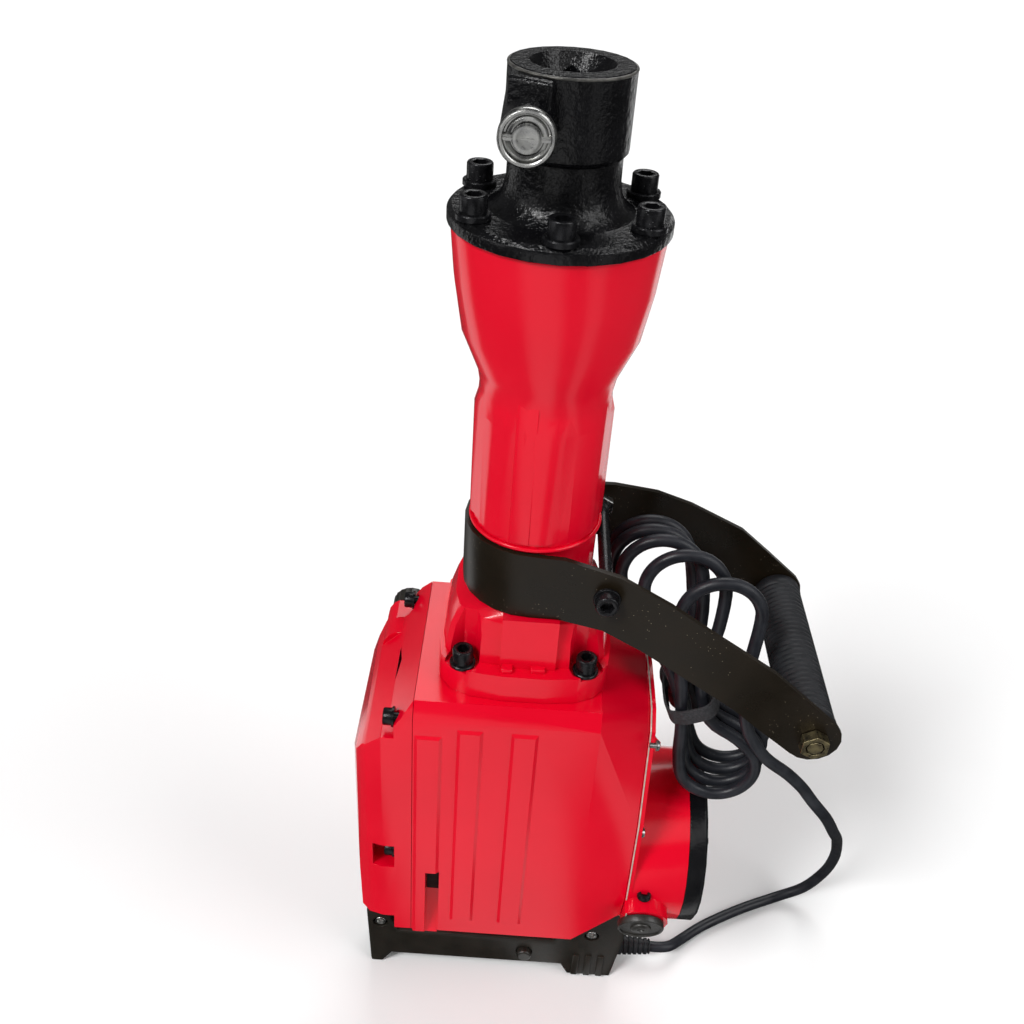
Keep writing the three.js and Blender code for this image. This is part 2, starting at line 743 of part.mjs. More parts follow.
// Front cover: flange, waisted body, hexagon socket and the cross boss of the tool stop.
const cover = groupAt(barrel, 0, 0, barrelLength + seatGap);
const flangeShares = [[1, 0], [1, 0.73], [0.965, 1], [0.66, 1]];
const waistShares = [[0.57, 0.052], [0.52, 0.13], [0.5, 0.22]];
const aboveFlange = (share) => flangeThick + share * (coverHeight - flangeThick);
const leverHeight = coverHeight - leverDrop;
const hexRadius = boreFor(hexAcross / 2, 6);
const hexFloor = coverHeight - hexDepth;
let frontCover = turned([
  [0, 0],
  ...flangeShares.map(([r, h]) => [r * flangeRadius, h * flangeThick]),
  ...waistShares.map(([r, h]) => [r * flangeRadius, aboveFlange(h)]),
  [coverWaist, aboveFlange(0.4)], [coverRadius, aboveFlange(0.443)],
  [coverRadius, aboveFlange(0.98)], [coverRadius * 0.96, coverHeight], [0, coverHeight],
], largeSides)
  .add(rod(leverBossRadius, -leverFront, leverRear, midSides, 'y', [leverX, 0, leverHeight]))
  .subtract(turned([
    [0, -cutOver], [boreFor(anvilRadius + gearReach), -cutOver],
    [boreFor(anvilRadius + gearReach), hexFloor], [0, hexFloor],
  ]))
  .subtract(rod(hexRadius, hexFloor - runGap, coverHeight + cutOver, 6))
  .subtract(turned([
    [0, coverHeight - mouthDepth], [hexAcross / 2, coverHeight - mouthDepth],
    [mouthRadius, coverHeight], [mouthRadius, coverHeight + cutOver], [0, coverHeight + cutOver],
  ]))
  .subtract(bore(
    leverRadius + runGap, -leverFront - cutOver, leverRear - leverBossWall, 'y', [leverX, 0, leverHeight],
  ));
for (const [x, y] of frontBoltSpots) {
  frontCover = frontCover.subtract(rod(
    tapped(frontBolt), -cutOver, flangeThick + cutOver, smallSides, 'z', [x, y, 0],
  ));
}
add(cover, 'front_cover', frontCover, materials.castIron);
frontBoltSpots.forEach(([x, y], i) => {
  const bolt = add(cover, `front_bolt_${i + 1}`, socketBolt(frontBolt), materials.blackBolt);
  bolt.position.set(x, y, flangeThick + seatGap);
});
const stop = groupAt(cover, leverX, -leverFront - seatGap, leverHeight);
stop.rotation.x = Math.PI / 2;
const leverEnd = leverFront + leverRear - leverBossWall - seatGap;
const pinHalf = rollPinLength / 2;
const pinLevel = leverHeadThick / 2;
const stopLever = turned([
  [0, -leverEnd], [leverRadius, -leverEnd], [leverRadius, 0], [leverHeadRadius, 0],
  [leverHeadRadius, leverHeadThick * 0.8], [leverHeadRadius * 0.9, leverHeadThick],
  [leverHeadRadius * 0.7, leverHeadThick], [leverHeadRadius * 0.64, leverHeadThick * 0.85],
  [leverHeadRadius * 0.58, leverHeadThick], [0, leverHeadThick],
])
  .subtract(block(
    [leverFlat, leverRadius + cutOver],
    [-leverRadius - cutOver, leverRadius + cutOver],
    [-leverFront - coverRadius * 0.6, coverRadius * 0.6 - leverFront],
  ))
  .subtract(bore(rollPinRadius + seatGap, -pinHalf, pinHalf, 'x', [0, 0, pinLevel], smallSides));
add(stop, 'stop_lever', stopLever, materials.steel);
const pinShape = rod(rollPinRadius, -pinHalf, pinHalf, smallSides);
const rollPin = add(stop, 'stop_lever_roll_pin', pinShape, materials.zinc);
rollPin.position.z = pinLevel;
rollPin.rotation.y = Math.PI / 2;

// Side handle: a steel strap round the neck, two arms and a rubber grip between their ends.
const side = groupAt(body, 0, 0, barrelBase + strapRise);
const strapInner = boreFor(neckRadius + runGap, largeSides);
const strapOuter = strapInner + strapThick;
const halfBand = strapWidth / 2;
const armShares = [
  [0, 0, 1.25, 0], [0.1, 0, 1.22, 0.02], [0.27, 0.03, 1.12, 0.26], [0.42, 0.13, 1.04, 0.58],
  [0.55, 0.27, 1, 0.8], [0.76, 0.54, 1, 0.98], [0.88, 0.77, 0.98, 1], [1, 1, 0.95, 1],
];
const armEnd = gripLength / 2 + seatGap;
const armFace = (spread) => strapInner + spread * (armEnd - strapInner);
const armRings = armShares.map(([run, drop, width, spread], i) => {
  const before = armShares[Math.max(i - 1, 0)];
  const after = armShares[Math.min(i + 1, armShares.length - 1)];
  const [dx, dz] = [(after[0] - before[0]) * gripX, (before[1] - after[1]) * gripDrop];
  const reach = Math.hypot(dx, dz);
  const [nx, nz] = [-dz / reach, dx / reach];
  const half = width * armWidth / 2;
  const [x, z] = [run * gripX, -drop * gripDrop];
  const y = armFace(spread);
  return [
    [x + nx * half, y, z + nz * half], [x + nx * half, y + strapThick, z + nz * half],
    [x - nx * half, y + strapThick, z - nz * half], [x - nx * half, y, z - nz * half],
  ];
});
const flip = (ring) => ring.map(([x, y, z]) => [x, -y, z]);
const armTip = armWidth * armShares.at(-1)[2] / 2;
let strap = turned([
  [strapInner, -halfBand], [strapOuter, -halfBand], [strapOuter, halfBand], [strapInner, halfBand],
], largeSides)
  .subtract(block(
    [strapThick, strapOuter + cutOver], [-strapOuter, strapOuter], [-strapWidth, strapWidth],
  ));
for (const rings of [armRings, armRings.map(flip)]) strap = strap.add(skinned(rings));
for (const [from, to] of [[armEnd, armEnd + strapThick], [-armEnd - strapThick, -armEnd]]) {
  strap = strap.add(rod(armTip, from, to, midSides, 'y', [gripX, 0, -gripDrop]));
}
strap = strap
  .subtract(rod(tapped(clampBolt), -armEnd, armEnd, smallSides, 'y', [clampX, 0, clampRise]))
  .subtract(rod(
    tapped(gripBolt), -armEnd - 2 * cutOver, armEnd + 2 * cutOver, smallSides, 'y', [gripX, 0, -gripDrop],
  ));
add(side, 'side_handle_strap', strap, materials.strapSteel);
const gripHole = tapped(gripBolt);
const ribSpan = gripLength * 0.86;
const ribStep = ribSpan / gripRibs;
const gripProfile = [[gripHole, -gripLength / 2], [gripRadius, -gripLength / 2], [gripRadius, -ribSpan / 2]];
for (let i = 0; i < gripRibs; i += 1) {
  const foot = ribStep * i - ribSpan / 2;
  gripProfile.push(
    [gripRadius - gripRibDepth, foot + ribStep * 0.4], [gripRadius, foot + ribStep * 0.7],
    [gripRadius, foot + ribStep],
  );
}
gripProfile.push([gripRadius, gripLength / 2], [gripHole, gripLength / 2]);
const gripGroup = groupAt(side, gripX, 0, -gripDrop);
gripGroup.rotation.x = Math.PI / 2;
add(gripGroup, 'side_grip', turned(gripProfile, midSides), materials.rubber);
const armOut = armEnd + strapThick + seatGap;
const throughBolt = (bolt, out) => socketBolt({ ...bolt, reach: 2 * out + bolt.high });
const sideBolt = add(gripGroup, 'side_grip_bolt', throughBolt(gripBolt, armOut), materials.zinc);
sideBolt.position.z = -armOut;
sideBolt.rotation.x = Math.PI;
const nutOf = (bolt) => rod(bolt.head * 1.15, 0, bolt.high, 6)
  .subtract(rod(tapped(bolt), -cutOver, bolt.high + cutOver, smallSides));
const gripNut = add(gripGroup, 'side_grip_nut', nutOf(gripBolt), materials.zinc);
gripNut.position.z = armOut;
const clampStep = armShares.findIndex(([run]) => run * gripX > clampX);
const [clampInner, clampOuter] = [armShares[clampStep - 1], armShares[clampStep]];
const clampShare = (clampX / gripX - clampInner[0]) / (clampOuter[0] - clampInner[0]);
const clampFace = armFace(THREE.MathUtils.lerp(clampInner[3], clampOuter[3], clampShare));
const clampOut = clampFace + strapThick + clampSlack;
const clampGroup = groupAt(side, clampX, 0, clampRise);
clampGroup.rotation.x = Math.PI / 2;
const clamp = add(clampGroup, 'clamp_bolt', throughBolt(clampBolt, clampOut), materials.blackBolt);
clamp.position.z = clampOut;
const clampNut = add(clampGroup, 'clamp_nut', nutOf(clampBolt), materials.zinc);
clampNut.position.z = -clampOut - clampBolt.high;

// Shafts and motor: each group's Z axis points to the right of the hammer, its X axis down.
function shaftGroup(height) {
  const group = groupAt(body, 0, 0, height);
  group.rotation.y = Math.PI / 2;
  return group;
}
const motor = shaftGroup(motorHeight);
const middle = shaftGroup(middleHeight);
const crank = shaftGroup(crankHeight);
const bearing = (outer, inner, from) => turned([
  [boreFor(inner + seatGap), from], [outer, from],
  [outer, from + bearingLength], [boreFor(inner + seatGap), from + bearingLength],
]);
const driveBearing = wallLeft + bearingLip + seatGap;
const shaftEnd = tailBearing + bearingLength + runGap;
const pinionRoot = fineModule * (pinionTeeth / 2 - 1.25);
const windingRadius = armatureRadius * 0.78;
add(motor, 'armature', turned([
  [0, pinionLeft], [pinionRoot, pinionLeft], [pinionRoot, pinionRight], [armatureShaft, pinionRight],
  [armatureShaft, coreLeft - windingLength], [windingRadius, coreLeft - windingLength],
  [windingRadius, coreLeft], [armatureRadius, coreLeft], [armatureRadius, coreRight],
  [windingRadius, coreRight], [windingRadius, coreRight + windingLength],
  [armatureShaft * 1.6, coreRight + windingLength], [armatureShaft * 1.6, commutatorLeft],
  [commutatorRadius, commutatorLeft], [commutatorRadius, commutatorRight],
  [armatureShaft, commutatorRight], [armatureShaft, shaftEnd], [0, shaftEnd],
]).add(gear(pinionTeeth, fineModule, Math.PI, [pinionLeft, pinionRight])), materials.lamination);
let fan = turned([
  [boreFor(armatureShaft + seatGap), fanLeft], [fanRadius, fanLeft], [fanRadius, fanLeft + fanPlate],
  [armatureShaft * 2, fanLeft + fanPlate], [armatureShaft * 2, fanRight],
  [boreFor(armatureShaft + seatGap), fanRight],
]);
for (let i = 0; i < fanBlades; i += 1) {
  const blade = new THREE.BoxGeometry(fanRadius - armatureShaft * 1.6, fanPlate, fanRight - fanLeft);
  blade.translate((fanRadius + armatureShaft * 1.6) / 2, 0, (fanLeft + fanRight) / 2);
  fan = fan.add(solid(blade.rotateZ(2 * Math.PI * i / fanBlades)));
}
add(motor, 'cooling_fan', fan, materials.plastic);
add(motor, 'armature_bearing_1', bearing(bearingRadius, armatureShaft, driveBearing), materials.steel);
add(motor, 'armature_bearing_2', bearing(bearingRadius, armatureShaft, tailBearing), materials.steel);
const statorOuter = motorBore - seatGap;
add(motor, 'stator', turned([
  [boreFor(statorBore), coreLeft - windingLength], [statorOuter * 0.84, coreLeft - windingLength],
  [statorOuter * 0.84, coreLeft], [statorOuter, coreLeft], [statorOuter, coreRight],
  [statorOuter * 0.84, coreRight], [statorOuter * 0.84, coreRight + windingLength],
  [boreFor(statorBore), coreRight + windingLength],
], largeSides), materials.copper);

// Motor housing: joint plate, round shell and two brush bosses on a slightly tilted line.
const plateLeft = caseRight + seatGap;
const plateRight = plateLeft + flangePlate;
const bossRadius = brushCapRadius + brushBossWall;
const capBase = brushCapOut - brushCapThick;
const brushTurns = [brushTilt + Math.PI, brushTilt];
const radial = (radius, from, to, turn, count = midSides) => {
  const geometry = new THREE.CylinderGeometry(radius, radius, to - from, count);
  geometry.translate(0, (from + to) / 2, 0).rotateZ(turn);
  return solid(geometry.translate(0, 0, brushX));
};
const brushPocket = (room, from, to, turn) => {
  const geometry = new THREE.BoxGeometry(brushWide + 2 * room, to - from, brushTall + 2 * room);
  geometry.translate(0, (from + to) / 2, 0).rotateZ(turn);
  return solid(geometry.translate(0, 0, brushX));
};
const shellInner = boreFor(motorRadius - housingWall, largeSides);
const motorPlate = slab(seatRing.map(([y, z]) => [motorHeight - z, y]), [plateLeft, plateRight], 'z')
  .subtract(bore(motorBore, plateLeft - cutOver, plateRight + cutOver, 'z', [0, 0, 0], largeSides));
let housing = turned([
  [shellInner, plateLeft], [motorRadius, plateLeft], [motorRadius, housingRight],
  [shellInner, housingRight],
], largeSides).add(motorPlate);
const commutatorRoom = commutatorRadius + gearReach;
for (const turn of brushTurns) {
  housing = housing
    .add(radial(bossRadius, motorRadius - 2 * housingWall, capBase - seatGap, turn))
    .add(radial(brushHolder, commutatorRoom, motorRadius - housingWall / 2, turn));
}
for (const turn of brushTurns) {
  housing = housing
    .subtract(brushPocket(seatGap, commutatorRadius, capBase - brushStemReach + seatGap, turn))
    .subtract(radial(boreFor(brushStem + seatGap), capBase - brushStemReach - seatGap, brushCapOut, turn));
}
housing = housing.subtract(block(
  [-2 * motorRadius, 2 * motorRadius], [-2 * motorRadius, 2 * motorRadius], [0, plateLeft],
));
add(motor, 'motor_housing', housing, materials.red);
['front', 'rear'].forEach((place, i) => {
  const line = new THREE.Group();
  line.position.z = brushX;
  line.rotation.z = brushTurns[i];
  motor.add(line);
  const out = new THREE.Group();
  out.rotation.x = -Math.PI / 2;
  line.add(out);
  const slot = block(
    [-brushCapRadius, brushCapRadius], [-brushSlot, brushSlot],
    [brushCapOut - brushSlot, brushCapOut + cutOver],
  );
  add(out, `brush_cap_${place}`, turned([
    [0, capBase - brushStemReach], [brushStem, capBase - brushStemReach], [brushStem, capBase],
    [brushCapRadius, capBase], [brushCapRadius, brushCapOut - brushSlot],
    [brushCapRadius * 0.93, brushCapOut], [0, brushCapOut],
  ]).subtract(slot), materials.plastic);
  add(out, `carbon_brush_${place}`, block(
    [-brushWide / 2, brushWide / 2], [-brushTall / 2, brushTall / 2],
    [commutatorRadius + runGap, capBase - brushStemReach - seatGap],
  ), materials.carbon);
});
const tailLeft = housingRight + seatGap;
const tailInside = tailRight - tailWall;
const cupBase = tailBearing - seatGap;
const cupTop = tailRight - tailWall / 2;
const bearingCup = turned([
  [boreFor(bearingRadius + seatGap), cupBase], [bearingRadius + tailWall, cupBase],
  [bearingRadius + tailWall, cupTop], [boreFor(bearingRadius + seatGap), cupTop],
]);
let tail = turned([
  [shellInner, tailLeft], [motorRadius, tailLeft], [motorRadius, tailRight - tailWall * 0.4],
  [motorRadius * 0.97, tailRight], [0, tailRight], [0, tailInside], [shellInner, tailInside],
  [shellInner, tailLeft],
], largeSides).add(bearingCup);
for (let i = 0; i < tailVents; i += 1) {
  const vent = new THREE.BoxGeometry(motorRadius * 0.36, tailVentWide, 2 * tailWall + 2 * cutOver);
  vent.translate(motorRadius * 0.64, 0, tailRight).rotateZ(2 * Math.PI * (i + 0.5) / tailVents);
  tail = tail.subtract(solid(vent));
}
add(motor, 'tail_cover', tail, materials.castIron);

// Intermediate shaft, crank and connecting rod
const middleShaft = rod(middleShaftRadius, middleShaftLeft, middleShaftRight)
  .add(gear(wheelTeeth, fineModule, Math.PI / wheelTeeth, [wheelLeft, wheelRight]))
  .add(gear(midPinionTeeth, coarseModule, Math.PI, [midPinionLeft, midPinionRight]));
add(middle, 'intermediate_gear_shaft', middleShaft, materials.steel);
const crankGearSpan = [crankGearLeft, crankGearRight];
const crankHole = crankShaftRadius + seatGap;
const crankGear = gear(crankTeeth, coarseModule, Math.PI / crankTeeth, crankGearSpan, crankHole);
add(crank, 'crank_gear', crankGear, materials.steel);
const crankBearing = bearing(crankBearingRadius, crankShaftRadius, wallLeft + seatGap);
add(crank, 'crank_bearing', crankBearing, materials.steel);
const crankPinAt = [-crankThrow, 0, 0];
const crankShaft = rod(crankShaftRadius, crankShaftEnd, crankWebLeft)
  .add(rod(crankWebRadius, crankWebLeft - seatGap, crankWebRight, largeSides))
  .add(rod(crankPinRadius, crankWebRight - seatGap, -crankWebRight, midSides, 'z', crankPinAt));
add(crank, 'crank_shaft', crankShaft, materials.steel);
const link = groupAt(body, 0, 0, crankHeight + crankThrow);
const smallEnd = [0, 0, rodLength];
const connectingRod = rod(bigEndRadius, -rodThick / 2, rodThick / 2, midSides, 'x')
  .add(rod(smallEndRadius, -rodThick / 2, rodThick / 2, midSides, 'x', smallEnd))
  .add(block([-rodThick / 2, rodThick / 2], [-rodWidth / 2, rodWidth / 2], [0, rodLength]))
  .subtract(bore(crankPinRadius + runGap, -rodThick, rodThick, 'x'))
  .subtract(rod(smallEndBore, -rodThick, rodThick, midSides, 'x', smallEnd));
add(link, 'connecting_rod', connectingRod, materials.steel);

// D-handle: two shells, split on the middle plane, round the switch, the trigger and the lock.
const handleOutline = [
  [toeOutLeft, 0], [toeInLeft, 0], [postInLeft, barBottom], [toeInRight - barBottom / 2, barBottom],
  [toeInRight, 0], [toeOutRight, 0], [postOutRight, (barTop + barBottom) * 0.85], [postOutRight, postTop],
  [postInRight, postTop], [postInRight, barTop * 1.3], [postInRight - barBottom / 2, barTop],
  [postInLeft + barBottom / 2, barTop], [postInLeft, barTop * 1.3], [postInLeft, leftPostTop],
  [postTopLeft, leftPostTop], [postOutLeft, leftPostTop / 2],
];
const cavityFloor = barBottom + handleWall;
const cavityRoof = barTop - handleWall;
const triggerRoom = triggerHalf + runGap;
const handleBolts = [[handleBoltLeft, handleBoltHeight], [handleBoltX, handleBoltHeight]];
const boltFace = handleHalf - handleBolt.high - handleBolt.washerHigh;
const frontFace = -handleHalf - cutOver;
const triggerHole = block(
  [triggerLeft - runGap, triggerRight + runGap], [-triggerRoom, triggerRoom],
  [cavityRoof - cutOver, barTop + cutOver],
);
const armorHole = bore(
  armorBody + seatGap, exitX - armorSeat - seatGap, exitX + armorLength, 'x', [0, 0, exitHeight],
);
let handle = slab(handleOutline, [-handleHalf, handleHalf], 'y', { bevel: handleRound })
  .subtract(block([cavityLeft, cavityRight], [-cavityHalf, cavityHalf], [cavityFloor, cavityRoof]))
  .subtract(triggerHole)
  .subtract(bore(lockRadius + runGap, frontFace, -cavityHalf + cutOver, 'y', [lockX, 0, lockHeight]))
  .subtract(armorHole);
for (const [x, z] of handleBolts) {
  const boltDepth = handleBolt.reach - boltFace + seatGap;
  handle = handle
    .subtract(bore(handleBolt.washer + seatGap, frontFace, -boltFace, 'y', [x, 0, z]))
    .subtract(rod(tapped(handleBolt), -handleHalf, boltDepth, smallSides, 'y', [x, 0, z]));
}
const handleSpan = [postOutLeft - cutOver, postOutRight + cutOver];
const handleRise = [-cutOver, leftPostTop + cutOver];
const handlePart = (from, to) => handle.intersect(block(handleSpan, [from, to], handleRise));
add(body, 'handle_front_shell', handlePart(frontFace, -seatGap / 2), materials.plastic);
add(body, 'handle_rear_shell', handlePart(seatGap / 2, -frontFace), materials.plastic);
handleBolts.forEach(([x, z], i) => {
  const bolt = add(body, `handle_bolt_${i + 1}`, socketBolt(handleBolt), materials.zinc);
  bolt.position.set(x, -boltFace - seatGap, z);
  bolt.rotation.x = Math.PI / 2;
});
const switchFoot = cavityFloor + seatGap;
add(body, 'switch_body', block(
  [switchLeft, switchRight], [-switchHalf, switchHalf], [switchFoot, switchFoot + switchHigh],
), materials.plastic);
const lipTop = cavityRoof - seatGap;
const triggerTop = barTop + triggerOut;
add(body, 'trigger', slab([
  [triggerLeft - triggerLip, lipTop - triggerLip], [triggerRight + triggerLip, lipTop - triggerLip],
  [triggerRight + triggerLip, lipTop], [triggerRight, lipTop], [triggerRight, triggerTop - triggerOut / 2],
  [triggerRight - triggerOut, triggerTop], [triggerLeft + triggerOut / 2, triggerTop - triggerOut / 4],
  [triggerLeft, triggerTop - triggerOut], [triggerLeft, lipTop], [triggerLeft - triggerLip, lipTop],
], [-triggerHalf, triggerHalf], 'y'), materials.plastic);
const lock = groupAt(body, lockX, 0, lockHeight);
const lockFlange = lockRadius + handleRound / 2;
const lockSeat = cavityHalf - seatGap;
add(lock, 'lock_button', turned([
  [0, lockInner], [lockFlange, lockInner], [lockFlange, lockSeat],
  [lockRadius, lockSeat], [lockRadius, handleHalf + lockOut * 0.7],
  [lockRadius * 0.8, handleHalf + lockOut], [0, handleHalf + lockOut],
]), materials.zinc).rotation.x = Math.PI / 2;

// Lead: strain relief in the right foot, a free stretch along the floor, then a tied hank.
const armor = groupAt(body, exitX, 0, exitHeight);
armor.rotation.y = Math.PI / 2;
add(armor, 'cord_armor', turned([
  [0, -armorSeat], [armorBody, -armorSeat], [armorBody, armorLip], [armorRadius, armorLip],
  [armorRadius, armorLip * 2], [armorTip, armorLength], [0, armorLength],
]), materials.rubber);

function smooth(t) {
  const s = THREE.MathUtils.clamp(t, 0, 1);
  return s * s * (3 - 2 * s);
}
const mix = THREE.MathUtils.lerp;
const upTilt = (k) => hankUpTilt - hankFan * (1 - k / (hankLoops - 1)) ** 3;
const downTilt = (k) => hankDownTilt + hankDownFan * k;
const upRun = (k) => hankUpper - hankShort * (1 - k / (hankLoops - 1)) ** 3;
const layer = (k) => (k - (hankLoops - 1) / 2) * hankPitch;

// One point of the hank: u runs up it from the waist, v across it, y through it.
function hankPoint(u, v, y, up, down) {
  const tilt = THREE.MathUtils.degToRad(mix(down, up, smooth((u + hankBlend) / (2 * hankBlend))));
  return new THREE.Vector3(
    v * Math.cos(tilt) - u * Math.sin(tilt), y + hankLean * u, u * Math.cos(tilt) + v * Math.sin(tilt),
  );
}
const across = (u, run) => mix(hankWaist, hankFold, smooth(Math.abs(u) / run));
const runShares = [0.66, 0.25];
const exitShares = [0.66, 0.4];
const foldSteps = 7;

function hankRoute() {
  const route = [];
  const fold = (k, sign, up, down) => {
    const run = sign > 0 ? upRun(k) : hankLower;
    for (let i = 0; i <= foldSteps; i += 1) {
      const turn = Math.PI * i / foldSteps;
      const u = sign * (run + hankFold * Math.sin(turn));
      route.push(hankPoint(u, sign * hankFold * Math.cos(turn), layer(k), up, down));
    }
  };
  const strand = (sideSign, above, yAt, up, down, reversed) => {
    const spots = [
      ...runShares.map((share) => share * above), ...runShares.map((share) => -share * hankLower).reverse(),
    ];
    for (const u of reversed ? spots.reverse() : spots) {
      const half = across(u, u > 0 ? above : hankLower);
      route.push(hankPoint(u, sideSign * half, yAt((u + hankLower) / (above + hankLower)), up, down));
    }
  };
  for (let k = 0; k < hankLoops - 1; k += 1) {
    fold(k, 1, upTilt(k), downTilt(k));
    strand(-1, upRun(k), () => layer(k), upTilt(k), downTilt(k), false);
    fold(k, -1, upTilt(k), downTilt(k));
    const climb = (share) => mix(layer(k), layer(k + 1), smooth(share));
    strand(1, upRun(k + 1), climb, upTilt(k + 1), downTilt(k), true);
  }
  const last = hankLoops - 1;
  fold(last, 1, upTilt(last), plugTilt);
  for (const share of exitShares) {
    const u = share * upRun(last);
    const y = mix(plugY, layer(last), smooth(share));
    route.push(hankPoint(u, -across(u, upRun(last)), y, upTilt(last), plugTilt));
  }
  return route;
}

// Places of the lead from its joint with the hank, chosen by hand: [x, y, z] from the barrel axis.
const tailPoints = [
  [205, -21, 233], [200, -21, 239.7], [186, -24, 256], [166, -29, 276], [151, -30, 298],
  [144, -28, 322], [143, -22, 348],
];
const leadPoints = [
  [205.25, -21, 232.68], [210.4, -21, 225.8], [224, -16, 206], [241, 0, 171], [259, 28, 128],
  [272, 50, 80], [273, 62, 44], [262, 66, 17], [240, 63, 5.6], [206, 48, 5], [172, 29, 5],
  [152, 13, 7.5], [141, 3, 12], [133, 0, 14], [124.4, 0, 14],
];
const hankOrigin = new THREE.Vector3(hankX, 0, hankHeight);
const tailEnd = tailPoints.map(([x, y, z]) => new THREE.Vector3(x, y, z).sub(hankOrigin));
const plugEnd = hankPoint(hankExit, -hankWaist, plugY, upTilt(hankLoops - 1), plugTilt);
const plugBack = hankPoint(0, -hankWaist, plugY, upTilt(hankLoops - 1), plugTilt);
const plugWay = plugBack.clone().sub(plugEnd).normalize();
const straight = plugWay.clone().multiplyScalar(-2 * cordRadius).add(plugEnd);
const hankPoints = [...tailEnd, ...hankRoute(), straight, plugEnd];

// A six-sided tube over the points, with each ring turned along with the route.
function tube(points, radius, count) {
  const ways = points.map((p, i) => {
    const before = points[Math.max(i - 1, 0)];
    const after = points[Math.min(i + 1, points.length - 1)];
    return after.clone().sub(before).normalize();
  });
  let lift = new THREE.Vector3(0, 1, 0);
  return skinned(points.map((p, i) => {
    lift = lift.sub(ways[i].clone().multiplyScalar(lift.dot(ways[i]))).normalize();
    const aside = ways[i].clone().cross(lift);
    return Array.from({ length: count }, (_, j) => {
      const angle = 2 * Math.PI * j / count;
      return p.clone()
        .add(lift.clone().multiplyScalar(radius * Math.cos(angle)))
        .add(aside.clone().multiplyScalar(radius * Math.sin(angle))).toArray();
    });
  }));
}

// Least gap between strands that are not next to each other along the route.
function leastGap(points, diameter) {
  const fine = [];
  points.slice(1).forEach((p, i) => {
    for (let j = 0; j < gapSteps; j += 1) fine.push(points[i].clone().lerp(p, j / gapSteps));
  });
  const travel = [0];
  fine.slice(1).forEach((p, i) => travel.push(travel[i] + p.distanceTo(fine[i])));
  let least = Infinity;
  for (let i = 0; i < fine.length; i += 1) {
    for (let j = i + 1; j < fine.length; j += 1) {
      if (travel[j] - travel[i] > 4 * diameter) least = Math.min(least, fine[i].distanceTo(fine[j]));
    }
  }
  return least - diameter;
}
const pathLength = (points) => points.slice(1).reduce((sum, p, i) => sum + p.distanceTo(points[i]), 0);
const hankGap = leastGap(hankPoints, 2 * cordRadius).toFixed(2);
console.log(`hank: least gap ${hankGap}, length ${pathLength(hankPoints).toFixed(0)}`);

const leadCurve = new THREE.CatmullRomCurve3(leadPoints.map((p) => new THREE.Vector3(...p)));
const leadSection = new THREE.Shape();
for (let i = 0; i < leadSides; i += 1) {
  const angle = 2 * Math.PI * i / leadSides;
  const spot = [cordRadius * Math.cos(angle), cordRadius * Math.sin(angle)];
  if (i) leadSection.lineTo(...spot);
  else leadSection.moveTo(...spot);
}
add(body, 'cord', solid(new THREE.ExtrudeGeometry(leadSection, {
  steps: leadSteps, bevelEnabled: false, extrudePath: leadCurve,
})), materials.rubber);
const hank = groupAt(side, hankX, 0, hankHeight - barrelBase - strapRise);
add(hank, 'cord_hank', tube(hankPoints, cordRadius, 6), materials.rubber);
const tieFront = layer(0) - cordRadius - tieSlack;
const tieRear = layer(hankLoops - 2) + hankPitch / 2 + cordRadius + tieSlack;
const tieHalf = [tieInnerWide, (tieRear - tieFront) / 2];
const tieShares = [[1, 0.8], [0.85, 0.95], [0.5, 1]];
const tieRing = (grow) => tieShares.map(([x, y]) => [x * (tieHalf[0] + grow), y * (tieHalf[1] + grow)]);
const around = (corner) => [
  ...corner, ...corner.map(([x, y]) => [-x, y]).reverse(),
  ...corner.map(([x, y]) => [-x, -y]), ...corner.map(([x, y]) => [x, -y]).reverse(),
];
const tie = add(hank, 'cord_tie', slab(around(tieRing(tieThick)), [-tieWide / 2, tieWide / 2], 'z')
  .subtract(slab(around(tieRing(0)), [-tieWide, tieWide], 'z')), materials.rubber);
tie.position.copy(hankPoint(0, tieAside, (tieFront + tieRear) / 2, tieTilt, tieTilt));
tie.rotation.y = -THREE.MathUtils.degToRad(tieTilt);
const plug = new THREE.Group();
plug.position.copy(plugWay).multiplyScalar(seatGap).add(plugEnd);
plug.quaternion.setFromUnitVectors(new THREE.Vector3(0, 0, 1), plugWay);
hank.add(plug);
const plugFace = plugNeck + plugLength;
let plugBody = turned([
  [0, 0], [cordRadius * 1.3, 0], [cordRadius * 2, plugNeck * 0.9], [plugRadius * 0.8, plugNeck],
  [plugRadius, plugNeck + plugLength * 0.2], [plugRadius, plugFace * 0.97], [plugRadius * 0.94, plugFace],
  [0, plugFace],
]);
for (const spread of [-plugPinSpread, plugPinSpread]) {
  plugBody = plugBody.add(rod(
    plugPinRadius, plugFace - plugPinRadius, plugFace + plugPinLength, smallSides, 'z', [0, spread, 0],
  ));
}
add(plug, 'plug', plugBody, materials.rubber);

// The part's origin is the middle of the underside of everything but the lead.
hammer.updateMatrixWorld(true);
const onLead = ['cord', 'cord_hank', 'cord_tie', 'plug', 'cord_armor'];
const box = new THREE.Box3();
hammer.traverse((piece) => {
  if (piece.isMesh && !onLead.includes(piece.name)) box.expandByObject(piece, true);
});
const middleSpot = box.getCenter(new THREE.Vector3());
body.position.set(-middleSpot.x, -middleSpot.y, -box.min.z);

export default hammer;
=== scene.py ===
import math

import bpy
from mathutils import Matrix, Vector


